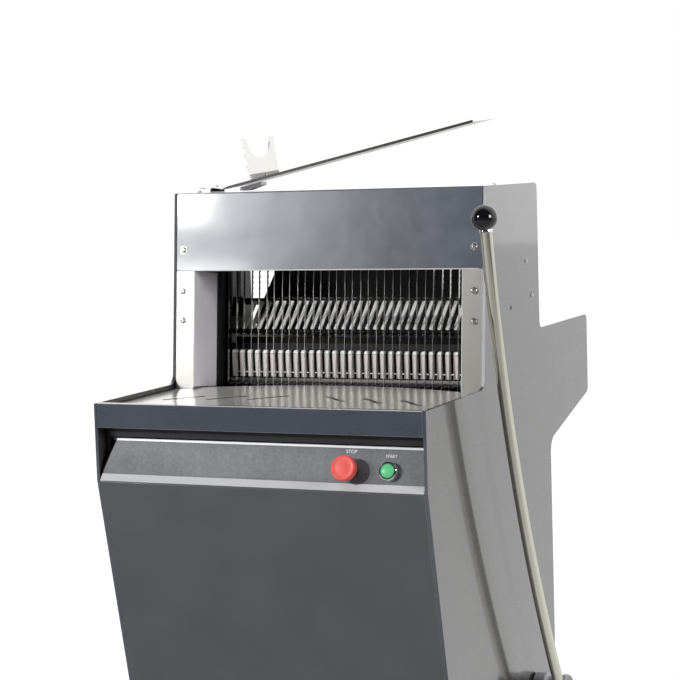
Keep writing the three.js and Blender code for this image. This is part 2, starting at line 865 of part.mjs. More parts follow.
// Guide tracks: grooved blocks for the ends of the bars. The upper ones are bolted to the frame plates,
// the lower ones stand on the drive plate, inside the swing arms
const trackFront = barInnerA - barDepth - trackWall;
const trackRear = barInnerB + barDepth + trackWall;
function guideTrack(outer, height) {
  const level = [height - trackBlockHeight / 2, height + trackBlockHeight / 2];
  const grooves = [barInnerA - barDepth, barInnerB].map((front) => block(
    [trackInner - cutOverrun, barHalfLength + trackRunGap],
    [front - trackRunGap, front + barDepth + trackRunGap],
    [level[0] - cutOverrun, level[1] + cutOverrun],
  ));
  return cut(block([trackInner, outer], [trackFront, trackRear], level), ...grooves).applyMatrix4(leanMatrix);
}

function lowerGuideTrack() {
  const shadow = trackBlockHeight / 2 * Math.sin(lean);
  const foot = -barBottomDrop - trackBlockHeight / 2;
  const front = towerFootDepth + trackFront * Math.cos(lean) + foot * Math.sin(lean) + shadow;
  const rear = towerFootDepth + trackRear * Math.cos(lean) + foot * Math.sin(lean) - shadow;
  const top = foot * Math.cos(lean) - trackFront * Math.sin(lean);
  const upright = block([trackInner, lowerTrackOuter], [front, rear], [drivePlateTop + seatGap, top - cutOverrun * 2]);
  const neck = block(
    [trackInner, lowerTrackOuter],
    [trackFront, trackRear],
    [foot - trackWall * 2, foot - cutOverrun],
  ).applyMatrix4(leanMatrix);
  const cap = block(
    [trackInner, lowerTrackOuter],
    [trackFront, trackRear],
    [foot - cutOverrun * 2, foot + cutOverrun],
  ).applyMatrix4(leanMatrix);
  return join(guideTrack(lowerTrackOuter, -barBottomDrop), cap, neck, upright);
}

const upperTrack = guideTrack(innerHalf, barTopHeight);
add('upper_guide_right', upperTrack, 'castIron');
add('upper_guide_left', mirrored(upperTrack), 'castIron');
const lowerTrack = lowerGuideTrack();
add('lower_guide_right', lowerTrack, 'castIron');
add('lower_guide_left', mirrored(lowerTrack), 'castIron');

// Connecting rods, hanging from the lower bars to just beside the crank pins
const crankDiscInner = crankShaftHalf + crankDiscWidth;
const rodInner = crankDiscInner + crankPinLength + rodPinGap;
function connectingRod(side, plane) {
  const x = [side * rodInner, side * (rodInner + rodThickness)].sort((a, b) => a - b);
  const top = -barBottomDrop - barHeight / 2 - rodEndGap;
  const shank = block(x, [plane - rodWidth / 2, plane + rodWidth / 2], [-crankDrop, top]);
  const eye = cylinderX(rodEyeRadius, x[0], x[1], plane, -crankDrop);
  const bore = cylinderX(crankPinRadius + seatGap, x[0] - cutOverrun, x[1] + cutOverrun, plane, -crankDrop);
  return cut(join(shank, eye), bore);
}

add('connecting_rod_a', connectingRod(-1, rodPlaneA), 'steel', leaning);
add('connecting_rod_b', connectingRod(1, rodPlaneB), 'steel', leaning);

// Crankshaft: a shaft, a disc at each end, and a stub pin on each disc, half a turn apart
function crankshaft() {
  const parts = [cylinderX(crankShaftRadius, -crankShaftHalf - cutOverrun, crankShaftHalf + cutOverrun, crankPlane, -crankDrop)];
  [[-1, rodPlaneA], [1, rodPlaneB]].forEach(([side, plane]) => {
    const disc = [side * crankShaftHalf, side * crankDiscInner].sort((a, b) => a - b);
    const pin = [side * (crankDiscInner - cutOverrun), side * (crankDiscInner + crankPinLength)].sort((a, b) => a - b);
    parts.push(cylinderX(crankDiscRadius, disc[0], disc[1], crankPlane, -crankDrop));
    parts.push(cylinderX(crankPinRadius, pin[0], pin[1], plane, -crankDrop));
  });
  return join(...parts);
}

add('crankshaft', crankshaft(), 'steel', leaning);

// A flanged pulley
function pulley(radius, y, z) {
  const rim = cylinderX(radius, -pulleyWidth / 2, pulleyWidth / 2, y, z);
  const flangeWidth = (pulleyWidth - beltWidth) / 2 - seatGap;
  const flanges = [-1, 1].map((side) => {
    const x = [side * (pulleyWidth / 2 - flangeWidth), side * pulleyWidth / 2].sort((a, b) => a - b);
    return cylinderX(radius + beltThickness, x[0], x[1], y, z);
  });
  return join(rim, ...flanges);
}

add('crank_pulley', cut(
  pulley(crankPulleyRadius, crankDepth, crankHeight),
  cylinderX(crankShaftRadius + seatGap, -pulleyWidth, pulleyWidth, crankDepth, crankHeight),
), 'castIron');

// One casting with two bearing cheeks, bolted to the drive plate beside the pulley
function bearingBlock() {
  const foot = drivePlateTop + seatGap;
  const cheeks = [-1, 1].flatMap((side) => {
    const x = [side * bearingGap, side * (bearingGap + bearingWidth)].sort((a, b) => a - b);
    const wall = crankShaftRadius + bearingWall;
    return [
      block(x, [crankDepth - wall, crankDepth + wall], [foot, crankHeight]),
      cylinderX(wall, x[0], x[1], crankDepth, crankHeight),
    ];
  });
  const reach = bearingGap + bearingWidth;
  const wall = crankShaftRadius + bearingWall;
  const base = block([-reach, reach], [crankDepth - wall, crankDepth + wall], [foot, foot + bearingFoot / 2]);
  const bore = cylinderX(crankShaftRadius + seatGap, -reach - cutOverrun, reach + cutOverrun, crankDepth, crankHeight);
  return cut(join(base, ...cheeks), bore);
}

add('bearing_block', bearingBlock(), 'castIron');

// Drive plate: wide in front of the swing arms, narrow between them, with a lip on the rear cover's side
const drivePlateOutline = [
  [innerHalf, drivePlateFront], [innerHalf, drivePlateStep], [drivePlateNarrow, drivePlateStep],
  [drivePlateNarrow, drivePlateRear], [innerHalf, drivePlateRear], [innerHalf, drivePlateLip],
];
add('drive_plate', prismZ([
  ...drivePlateOutline.map(([x, y]) => new THREE.Vector2(x, y)),
  ...drivePlateOutline.map(([x, y]) => new THREE.Vector2(-x, y)).reverse(),
], drivePlateTop - drivePlateThickness, drivePlateTop), 'steel');

// Motor with its foot; its shaft carries the small pulley
const motorRight = -pulleyWidth / 2 - motorBodyGap;
add('motor', join(
  cylinderX(motorRadius, motorRight - motorLength, motorRight, motorDepth, motorHeight),
  block(
    [motorRight - motorLength * (1 - motorFootShare), motorRight - motorLength * motorFootShare],
    [motorDepth - motorFootWidth / 2, motorDepth + motorFootWidth / 2],
    [drivePlateTop + seatGap, motorHeight],
  ),
), 'motorPaint');

add('motor_pulley', join(
  pulley(motorPulleyRadius, motorDepth, motorHeight),
  cylinderX(motorShaftRadius, motorRight + seatGap, pulleyWidth / 2 + motorShaftTail, motorDepth, motorHeight),
), 'steel');

// Belt: the loop round both pulleys
function belt() {
  const from = new THREE.Vector2(crankDepth, crankHeight);
  const to = new THREE.Vector2(motorDepth, motorHeight);
  const span = to.clone().sub(from);
  const slope = Math.atan2(span.y, span.x);
  const loop = (extra) => {
    const large = crankPulleyRadius + extra;
    const small = motorPulleyRadius + extra;
    const wrap = Math.asin((large - small) / span.length());
    const points = [];
    const arc = (centre, radius, start, end) => {
      for (let step = 0; step <= roundSides; step += 1) {
        const angle = start + (end - start) * step / roundSides;
        points.push(new THREE.Vector2(Math.cos(angle), Math.sin(angle)).multiplyScalar(radius).add(centre));
      }
    };
    arc(from, large, slope + Math.PI / 2 - wrap, slope + Math.PI * 3 / 2 + wrap);
    arc(to, small, slope - Math.PI / 2 + wrap, slope + Math.PI / 2 - wrap);
    return points;
  };
  const outer = prismX(loop(beltThickness), -beltWidth / 2, beltWidth / 2);
  const inner = prismX(loop(seatGap), -beltWidth, beltWidth);
  return cut(outer, inner);
}

add('drive_belt', belt(), 'rubber');

// Base pan with its drawer runners, and four levelling feet
function basePan() {
  const front = frontKneeDepth + basePanFrontGap;
  const rear = bellyDepth - seatGap;
  const floor = -bodyDrop;
  const pan = prismX(bentSheet([
    [front, floor + baseFlange],
    [front, floor],
    [rear, floor],
    [rear, floor + baseSheet + baseFlange],
  ], baseSheet), -coverHalf, coverHalf);
  const trimmed = cut(pan, ...[-1, 1].map((side) => {
    const x = [side * (frameInner - seatGap), side * half].sort((a, b) => a - b);
    return block(x, [front + frameInset / 2, rear + cutOverrun], [floor + baseSheet, floor + baseSheet + baseFlange + cutOverrun]);
  }));
  const runners = [-1, 1].map((side) => block(
    [side * runnerPlace - runnerWidth / 2, side * runnerPlace + runnerWidth / 2],
    [front + frameInset, rear - frameInset],
    [floor + baseSheet / 2, floor + runnerHeight],
  ));
  return join(trimmed, ...runners);
}

add('base_pan', basePan(), 'steel');

function foot() {
  const top = footHeight - seatGap;
  return turned([
    [0, 0],
    [footPadRadius, 0],
    [footPadRadius, footPadHeight / 2],
    [footNutRadius, footPadHeight],
    [footStemRadius, footPadHeight],
    [footStemRadius, top - footNutHeight],
    [footNutRadius, top - footNutHeight],
    [footNutRadius, top],
    [0, top],
  ]);
}

[['front', footPlaceFront], ['rear', footPlaceRear]].forEach(([end, y]) => {
  [['left', -footPlaceX], ['right', footPlaceX]].forEach(([side, x]) => {
    add(`foot_${end}_${side}`, foot(), 'rubber').position.set(x, y, -bodyDrop - footHeight);
  });
});

// Crumb drawer: an open box behind a front plate, with a bar handle
const drawerFloor = -bodyDrop + runnerHeight + seatGap;
const drawerFrontTop = -frontCoverFoot - coverSheet - drawerFrontGap;
function crumbDrawer() {
  const front = frontKneeDepth;
  const box = block(
    [-drawerHalfWidth, drawerHalfWidth],
    [front + drawerFrontSheet / 2, front + drawerLength],
    [drawerFloor, drawerFloor + drawerHeight],
  );
  const hollow = block(
    [-drawerHalfWidth + drawerSheet, drawerHalfWidth - drawerSheet],
    [front + drawerFrontSheet, front + drawerLength - drawerSheet],
    [drawerFloor + drawerSheet, drawerFloor + drawerHeight + cutOverrun],
  );
  const plate = block(
    [-coverHalf, coverHalf],
    [front, front + drawerFrontSheet],
    [-bodyDrop + panelCornerRadius, drawerFrontTop],
  );
  return join(plate, cut(box, hollow));
}

add('crumb_drawer', crumbDrawer(), 'paint');

// A round bar bent into a shallow U, standing on the drawer's front
function drawerHandle() {
  const path = new THREE.CurvePath();
  const y = frontKneeDepth - seatGap;
  const out = y - handleReach;
  const z = (drawerFrontTop - bodyDrop) / 2 + drawerHeight / 4;
  const end = handleSpan / 2;
  const at = (x, depth) => new THREE.Vector3(x, depth, z);
  path.add(new THREE.LineCurve3(at(-end, y), at(-end, out + handleBend)));
  path.add(new THREE.QuadraticBezierCurve3(at(-end, out + handleBend), at(-end, out), at(-end + handleBend, out)));
  path.add(new THREE.LineCurve3(at(-end + handleBend, out), at(end - handleBend, out)));
  path.add(new THREE.QuadraticBezierCurve3(at(end - handleBend, out), at(end, out), at(end, out + handleBend)));
  path.add(new THREE.LineCurve3(at(end, out + handleBend), at(end, y)));
  return tubeAlong(path, handleRadius, handleSteps);
}

// A round bar along a curve, with flat ends
const handleSteps = 40;
const leverSteps = 28;
const tubeSides = 12;
function tubeAlong(path, radius, steps) {
  const section = new THREE.Shape();
  for (let side = 0; side < tubeSides; side += 1) {
    const angle = side / tubeSides * 2 * Math.PI;
    const point = [radius * Math.cos(angle), radius * Math.sin(angle)];
    if (side === 0) {
      section.moveTo(...point);
    } else {
      section.lineTo(...point);
    }
  }
  return new THREE.ExtrudeGeometry(section, { steps, extrudePath: path });
}

add('drawer_handle', drawerHandle(), 'stainless');

// Lever: a bowed tube, welded to its hub, in a plane outside the right panel
const pivot = new THREE.Vector2(leverPivotDepth, -leverPivotDrop);
const ball = new THREE.Vector2(ballDepth, ballHeight);

function leverCurve() {
  const chord = ball.clone().sub(pivot);
  const length = chord.length();
  const radius = length * length / (8 * leverBow) + leverBow / 2;
  const halfAngle = Math.asin(length / (2 * radius));
  const along = chord.clone().normalize();
  const across = new THREE.Vector2(-along.y, along.x);
  const middle = pivot.clone().add(ball).multiplyScalar(1 / 2);
  const centre = middle.clone().addScaledVector(across, leverBow - radius);
  const startGap = leverShaftRadius + cutOverrun;
  const endGap = ballRadius - ballSocket;
  const start = -halfAngle + startGap / radius;
  const end = halfAngle - endGap / radius;
  const points = Array.from({ length: leverSteps / 2 + 1 }, (_, step) => {
    const angle = start + (end - start) * step / (leverSteps / 2);
    const point = centre.clone()
      .addScaledVector(along, radius * Math.sin(angle))
      .addScaledVector(across, radius * Math.cos(angle));
    return new THREE.Vector3(leverPlane, point.x, point.y);
  });
  return new THREE.CatmullRomCurve3(points);
}

const leverPath = leverCurve();
add('lever', cut(
  join(
    tubeAlong(leverPath, leverRadius, leverSteps),
    cylinderX(hubRadius, half + hubStandoff, leverPlane + hubOvershoot, leverPivotDepth, -leverPivotDrop),
  ),
  cylinderX(leverShaftRadius + seatGap, half - cutOverrun, leverPlane, leverPivotDepth, -leverPivotDrop),
), 'stainless');

// Ball with a flat-bottomed socket for the tube's end
function ballKnob() {
  const tip = leverPath.getPoint(1);
  const direction = leverPath.getTangent(1);
  const sphere = new THREE.SphereGeometry(ballRadius, roundSides, roundSides / 2);
  const socket = new THREE.CylinderGeometry(leverRadius + seatGap, leverRadius + seatGap, ballRadius, roundSides);
  const turn = new THREE.Quaternion().setFromUnitVectors(axes.y, direction);
  socket.applyQuaternion(turn);
  socket.translate(
    tip.x + direction.x * (seatGap - ballRadius / 2),
    tip.y + direction.y * (seatGap - ballRadius / 2),
    tip.z + direction.z * (seatGap - ballRadius / 2),
  );
  sphere.translate(leverPlane, ball.x, ball.y);
  return cut(sphere, socket);
}

add('lever_knob', ballKnob(), 'black');

add('lever_shaft', cylinderX(
  leverShaftRadius, -frameOuter, leverPlane - seatGap, leverPivotDepth, -leverPivotDrop,
), 'steel');

// Swing arms: forks whose open slots push the carriages' pins. They lean forwards as drawn, with each pin a
// little behind the middle of its slot, because an even swing runs ahead of it halfway.
function swingArm() {
  const inner = armOuter - armThickness;
  const slotHalf = pinRadius + forkSideGap;
  const slotFoot = pinRadiusPath - pinRadius - forkEndGap;
  const tip = pinRadiusPath / Math.cos(swingForward) + forkEndGap;
  const prong = slotHalf + forkProng;
  const outline = [
    [-armNeck, 0], [armNeck, 0], [armNeck, slotFoot * armTaperShare], [prong, slotFoot], [prong, tip],
    [slotHalf, tip], [slotHalf, slotFoot], [-slotHalf, slotFoot], [-slotHalf, tip],
    [-prong, tip], [-prong, slotFoot], [-armNeck, slotFoot * armTaperShare],
  ].map(([y, z]) => new THREE.Vector2(y, z));
  const arm = join(prismX(outline, inner, armOuter), cylinderX(armHubRadius, inner, armOuter, 0, 0));
  const bored = cut(arm, cylinderX(leverShaftRadius + seatGap, inner - cutOverrun, armOuter + cutOverrun, 0, 0));
  bored.rotateX(swingForward);
  bored.translate(0, leverPivotDepth, -leverPivotDrop);
  return bored;
}

const arm = swingArm();
add('swing_arm_right', arm, 'steel');
add('swing_arm_left', mirrored(arm), 'steel');

// Carriages: a side plate with its drawbar and pin, and a slide bearing on the rail
function carriage() {
  const inner = carriageOuter - carriagePlate;
  const slideRear = slideFront + slideLength;
  const plate = prismX([
    [riserFront, riserTop],
    [riserFront, -carriageBarTop],
    [pinRestDepth, -pinDrop + pinBossRadius],
    [pinRestDepth, -pinDrop - pinBossRadius],
    [riserFront, -carriageBarFoot],
    [slideRear, -carriageBarFoot],
    [slideRear, -carriageBarTop],
    [riserFront + riserFootDepth, -carriageBarTop],
    [riserFront + riserTopDepth, riserTop],
  ].map(([y, z]) => new THREE.Vector2(y, z)), inner, carriageOuter);
  const boss = cylinderX(pinBossRadius, inner, carriageOuter, pinRestDepth, -pinDrop);
  const pin = cylinderX(pinRadius, inner, carriageOuter + pinReach, pinRestDepth, -pinDrop);
  const slide = block(
    [railPlace - slideHalfWidth - railRunGap - cutOverrun, inner + carriagePlate / 2],
    [slideFront, slideRear],
    [-railDrop - slideHalfHeight, -railDrop + slideHalfHeight],
  );
  const bore = cylinderY(railRadius + railRunGap, slideFront - cutOverrun, slideRear + cutOverrun, railPlace, -railDrop);
  return join(cut(join(plate, slide), bore), boss, pin);
}

const rightCarriage = carriage();
add('carriage_right', rightCarriage, 'innerPaint');
add('carriage_left', mirrored(rightCarriage), 'innerPaint');

// Pusher: fingers that stand between the blades' lines, in front of a plate between the carriages
const fingerRear = fingerFace + fingerLength;
function pusherComb() {
  const foot = fingerFoot;
  const parts = [];
  const reach = (fingerCount - 1) / 2 * bladePitch + fingerWidth / 2;
  for (let index = 0; index < fingerCount; index += 1) {
    const x = (index - (fingerCount - 1) / 2) * bladePitch;
    parts.push(block([x - fingerWidth / 2, x + fingerWidth / 2], [fingerFace, fingerRear], [foot, foot + fingerHeight]));
  }
  parts.push(block([-reach, reach], [fingerRear - fingerRail, fingerRear], [foot, foot + fingerHeight]));
  return join(...parts);
}

add('pusher_comb', pusherComb(), 'polished');

const plateHalf = carriageOuter - carriagePlate - seatGap;
add('pusher_back_plate', block(
  [-plateHalf, plateHalf],
  [fingerRear + seatGap, fingerRear + seatGap + backPlate],
  [-backPlateFoot, backPlateTop],
), 'innerPaint');

// Hold-down: slanted fingers between a cross bar, which rides on two rods, and a cross rod at the tips
function holdDown() {
  const bar = block(
    [-holdBarHalf, holdBarHalf],
    [holdBarDepth - holdBarSize / 2, holdBarDepth + holdBarSize / 2],
    [holdBarHeight - holdBarSize / 2, holdBarHeight + holdBarSize / 2],
  );
  const bores = [-1, 1].map((side) => cylinderZ(
    holdRodRadius + holdRodRunGap, holdBarHeight - holdBarSize, holdBarHeight + holdBarSize,
    side * holdRodPlace, holdBarDepth,
  ));
  const rod = cylinderX(holdTipRadius, -holdTipHalf, holdTipHalf, holdTipDepth, holdTipHeight, tubeSides);
  const run = new THREE.Vector2(holdBarDepth - holdTipDepth, holdBarHeight - holdTipHeight);
  const fingers = [];
  for (let index = 0; index < holdFingerCount; index += 1) {
    const x = (index - (holdFingerCount - 1) / 2) * bladePitch;
    const finger = block(
      [-holdFingerWidth / 2, holdFingerWidth / 2],
      [0, run.length()],
      [-holdFingerDepth / 2, holdFingerDepth / 2],
    );
    finger.rotateX(run.angle());
    finger.translate(x, holdTipDepth, holdTipHeight);
    fingers.push(finger);
  }
  return join(cut(bar, ...bores), rod, ...fingers);
}

add('hold_down_comb', holdDown(), 'polished', leaning);

const holdRod = cylinderZ(
  holdRodRadius, holdBarHeight - holdBarSize / 2 - holdLugHeight, holdRodTop, holdRodPlace, holdBarDepth,
);
add('hold_down_rod_right', holdRod, 'polished', leaning);
add('hold_down_rod_left', mirrored(holdRod), 'polished', leaning);

// Flap behind the blades, narrower at the top, on its own rod
add('infeed_flap', join(
  prismY([
    new THREE.Vector2(-flapFootHalf, flapFoot),
    new THREE.Vector2(flapFootHalf, flapFoot),
    new THREE.Vector2(flapTopHalf, flapTop),
    new THREE.Vector2(-flapTopHalf, flapTop),
  ], flapDepth - flapSheet / 2, flapDepth + flapSheet / 2),
  cylinderX(flapRodRadius, -innerHalf, innerHalf, flapDepth, flapTop, tubeSides),
), 'black');

// Emergency stop: a collar with its contact block behind the panel, and a mushroom cap
add('stop_collar', onControlFace(cut(
  join(
    cylinderZ(stopCollarRadius, seatGap, stopCollarHeight, 0, 0),
    cylinderZ(buttonBodyRadius, -coverSheet - buttonNeckReach, cutOverrun, 0, 0),
    block(
      [-contactBlock / 2, contactBlock / 2],
      [-contactBlock / 2, contactBlock / 2],
      [-coverSheet - buttonNeckReach - contactBlockDepth, -coverSheet - buttonNeckReach + cutOverrun],
    ),
  ),
  cylinderZ(stopNeckRadius + seatGap, -coverSheet, stopCollarHeight + cutOverrun, 0, 0),
), stopPlace), 'black');

const stopNeckFoot = stopTravel + seatGap - coverSheet;
const stopCapFoot = stopCollarHeight + stopTravel + seatGap;
add('stop_cap', onControlFace(turned([
  [0, stopNeckFoot],
  [stopNeckRadius, stopNeckFoot],
  [stopNeckRadius, stopCapFoot],
  ...capCrownShares.map(([radiusShare, heightShare]) => [
    stopCapRadius * radiusShare, stopCapFoot + stopCapHeight * heightShare,
  ]),
]), stopPlace), 'red');

// Start button: a bezel with its contact block, and a flush cap
add('start_bezel', onControlFace(cut(
  join(
    cylinderZ(bezelRadius, seatGap, bezelHeight, 0, 0),
    cylinderZ(buttonBodyRadius, -coverSheet - buttonNeckReach, cutOverrun, 0, 0),
    block(
      [-contactBlock / 2, contactBlock / 2],
      [-contactBlock / 2, contactBlock / 2],
      [-coverSheet - buttonNeckReach - contactBlockDepth, -coverSheet - buttonNeckReach + cutOverrun],
    ),
  ),
  cylinderZ(bezelRadius - bezelWall, bezelHeight - startCapHeight - startTravel, bezelHeight + cutOverrun, 0, 0),
), startPlace), 'stainless');

add('start_cap', onControlFace(cylinderZ(
  startCapRadius, bezelHeight - startCapHeight + seatGap, bezelHeight + seatGap, 0, 0,
), startPlace), 'green');

// Bagging scoop: a swivel foot on the tower, a tray that rises to the right, and a fork plate across it
const scoopLevel = towerHeight + scoopClear;
const scoopRear = scoopFront + scoopDepth;
const rise = new THREE.Vector2(Math.cos(scoopSlope), Math.sin(scoopSlope));
const scoopMiddle = scoopFront + scoopDepth / 2;
const scoopMiddleRise = scoopDepth / 2 * Math.tan(scoopTilt);

// The tray is tilted about its front edge: every point rises with its distance behind that edge
function tilted(geometry) {
  const slant = new THREE.Matrix4().set(
    1, 0, 0, 0,
    0, 1, 0, 0,
    0, Math.tan(scoopTilt), 1, -scoopFront * Math.tan(scoopTilt),
    0, 0, 0, 1,
  );
  return geometry.applyMatrix4(slant);
}

function scoopTray() {
  const end = [scoopBendX + scoopLength * rise.x, scoopLevel + scoopLength * rise.y];
  const tray = prismY(bentSheet([
    [scoopBendX - scoopLip, scoopLevel], [scoopBendX, scoopLevel], end,
  ], scoopSheet), scoopFront, scoopRear);
  const lipFoot = (scoopSheet - scoopLip) / 2;
  const lip = prismY(bentSheet([
    [scoopBendX, scoopLevel + lipFoot], [end[0], end[1] + lipFoot],
  ], scoopLip), scoopFront, scoopFront + scoopSheet);
  const level = [scoopLevel, scoopLevel + scoopSheet];
  const tongueEnd = cylinderZ(scoopTongueRadius, ...level, scoopPivotX, scoopMiddle);
  const tongue = prismZ([
    new THREE.Vector2(scoopPivotX, scoopMiddle - scoopTongueRadius),
    new THREE.Vector2(scoopBendX, scoopFront),
    new THREE.Vector2(scoopBendX, scoopRear),
    new THREE.Vector2(scoopPivotX, scoopMiddle + scoopTongueRadius),
  ], ...level);
  const post = cylinderZ(
    scoopPivotRadius, towerHeight + seatGap, scoopLevel + scoopMiddleRise + scoopSheet / 2, scoopPivotX, scoopMiddle,
  );
  return join(tilted(join(tray, lip, tongueEnd, tongue)), post);
}

// The block under the tray's low end that holds its slope
function scoopBlock() {
  const start = scoopBendX + scoopBlockStart;
  const end = start + scoopBlockLength;
  const under = (x) => scoopLevel + (x - scoopBendX) * Math.tan(scoopSlope) + scoopSheet / 2;
  const foot = towerHeight + seatGap * 2;
  const deep = foot - scoopMiddleRise * 2;
  const outline = [
    [start, deep], [start + scoopBlockHeight, deep],
    [end, under(end) - scoopBlockHeight], [end, under(end)], [start, under(start)],
  ].map(([x, z]) => new THREE.Vector2(x, z));
  const body = tilted(prismY(outline, scoopMiddle - scoopBlockWidth / 2, scoopMiddle + scoopBlockWidth / 2));
  return cut(body, block([start - cutOverrun, end], [scoopFront, scoopRear], [0, foot]));
}

add('scoop_tray', join(scoopTray(), scoopBlock()), 'stainless');

// The fork plate stands square on the tray and leans back a little
function forkPlateGeometry() {
  const foot = scoopSheet + seatGap;
  const outline = [
    [-forkPlateWidth / 2, foot], [forkPlateWidth / 2, foot], [forkPlateTopWidth / 2, forkPlateHeight],
    [forkTipHalf, forkPlateHeight], [forkNotchHalf, forkPlateHeight - forkNotchDepth * forkCurveShare],
    [0, forkPlateHeight - forkNotchDepth], [-forkNotchHalf, forkPlateHeight - forkNotchDepth * forkCurveShare],
    [-forkTipHalf, forkPlateHeight], [-forkPlateTopWidth / 2, forkPlateHeight],
  ].map(([y, z]) => new THREE.Vector2(y + z * Math.tan(forkPlateTilt), z));
  const plate = prismX(outline, -scoopSheet / 2, scoopSheet / 2);
  plate.rotateY(-scoopSlope);
  plate.translate(
    scoopBendX + forkPlateAt * rise.x, scoopMiddle, scoopLevel + forkPlateAt * rise.y,
  );
  return tilted(plate);
}

add('scoop_fork', forkPlateGeometry(), 'stainless');

// Put the origin in the middle of the footprint, on the floor
const group = new THREE.Group();
group.add(machine);
machine.updateMatrixWorld(true);
const bounds = new THREE.Box3().setFromObject(machine);
machine.position.set(
  -(bounds.min.x + bounds.max.x) / 2,
  -(bounds.min.y + bounds.max.y) / 2,
  -bounds.min.z,
);

export default group;
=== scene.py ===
# %% [markdown]
# # A bread slicing machine, dressed for its picture
# The solids of the machine come from a CAD model, where every piece has its real size and place. This
# script puts materials, rounded edges and small parts on them. It is written as a lesson: each step says
# what a piece is on the real machine, how it could be made, and why one way was chosen.

import json
import math

import bmesh
import bpy
from mathutils import Matrix, Vector


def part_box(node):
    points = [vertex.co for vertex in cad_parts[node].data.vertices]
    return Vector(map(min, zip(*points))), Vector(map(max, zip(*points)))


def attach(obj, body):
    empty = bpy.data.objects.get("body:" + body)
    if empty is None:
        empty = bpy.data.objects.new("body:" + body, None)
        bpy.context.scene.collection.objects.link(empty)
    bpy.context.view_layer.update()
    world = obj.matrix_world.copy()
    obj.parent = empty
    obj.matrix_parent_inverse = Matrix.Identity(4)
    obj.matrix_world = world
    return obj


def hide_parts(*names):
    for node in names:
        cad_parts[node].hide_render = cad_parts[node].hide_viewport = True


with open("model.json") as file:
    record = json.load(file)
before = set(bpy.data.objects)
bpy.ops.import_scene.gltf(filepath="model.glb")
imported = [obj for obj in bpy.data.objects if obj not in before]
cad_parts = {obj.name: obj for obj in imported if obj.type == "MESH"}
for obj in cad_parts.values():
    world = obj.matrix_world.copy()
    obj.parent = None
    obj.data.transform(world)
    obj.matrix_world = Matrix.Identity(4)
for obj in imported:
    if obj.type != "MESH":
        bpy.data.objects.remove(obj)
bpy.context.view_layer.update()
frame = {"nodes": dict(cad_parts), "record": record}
bodies = frame["record"]["behaviour"]["bodies"]
body_of_node = {node: body for body, nodes in bodies.items() for node in nodes}

# %% [markdown]
# The drawing of the machine measures everything from one corner: the top edge of the apron, in the middle
# of its width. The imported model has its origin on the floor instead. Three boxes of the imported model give
# the corner back, so the rest of the script can speak in the drawing's millimetres.

# %% Find the drawing's own corner
MM = 0.001
left_low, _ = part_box("side_panel_left")
_, right_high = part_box("side_panel_right")
apron_low, apron_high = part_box("apron")
CORNER = Vector(((left_low.x + right_high.x) / 2, apron_low.y, apron_high.z))
TOWER_FOOT = 267
TOWER_HEIGHT = 330
TOWER_SETBACK = 34
LEAN = math.atan2(TOWER_SETBACK, TOWER_HEIGHT)
LEVEL = Matrix.Translation(CORNER) @ Matrix.Scale(MM, 4)
LEANING = LEVEL @ Matrix.Translation((0, TOWER_FOOT, 0)) @ Matrix.Rotation(-LEAN, 4, "X")
print("corner at", [round(value, 4) for value in CORNER])

# %% [markdown]
# The camera stands where the photographer stood. Its place and its three directions were worked out by
# fitting straight edges of the machine to the photograph, so they are numbers rather than choices.

# %% Stand the camera where the photograph was taken
def add_object(name, data):
    """A new object that stands in the scene."""
    piece = bpy.data.objects.new(name, data)
    bpy.context.scene.collection.objects.link(piece)
    return piece


camera_data = bpy.data.cameras.new("photo_camera")
camera_data.lens = 100.58
camera_data.sensor_width = 36
camera_data.clip_end = 50
camera = add_object("photo_camera", camera_data)
camera_axes = Matrix((
    (0.91636822, 0.3991127, -0.03127849),
    (-0.00806889, 0.09652781, 0.99529758),
    (0.40025515, -0.91180669, 0.09167542),
)).transposed()
camera_place = LEVEL @ Vector((1306.56, -2632.32, 370.75))
camera.matrix_world = Matrix.Translation(camera_place) @ camera_axes.to_4x4()
bpy.context.scene.camera = camera
print("camera at", [round(value, 3) for value in camera_place])

# %% [markdown]
# ## Finishes
# A material in Blender is a small network of nodes. Written out node by node it is long and hard to read,
# so small classes do the wiring. A Wire is a value on its way through a network: adding or multiplying it
# adds a Math node. A Network has one method that adds any other node, and a Finish is the network of one
# material.

# %% Wires, networks and finishes
class Wire:
    """A number on its way through a network. Python's operators on it add Math nodes."""

    def __init__(self, network, socket):
        self.network = network
        self.socket = socket

    def math(self, operation, first, second, clamp=False):
        settings = {"operation": operation, "use_clamp": clamp}
        return self.network.node("ShaderNodeMath", settings, {0: first, 1: second})

    def __add__(self, other):
        return self.math("ADD", self, other)

    def __mul__(self, other):
        return self.math("MULTIPLY", self, other)

    def __sub__(self, other):
        return self.math("SUBTRACT", self, other)

    def __rsub__(self, other):
        return self.math("SUBTRACT", other, self)

    def above(self, level, sharpness):
        """0 below a level and 1 above it, with a soft step between."""
        return self.math("MULTIPLY", self - level, sharpness, clamp=True)

    __radd__ = __add__
    __rmul__ = __mul__


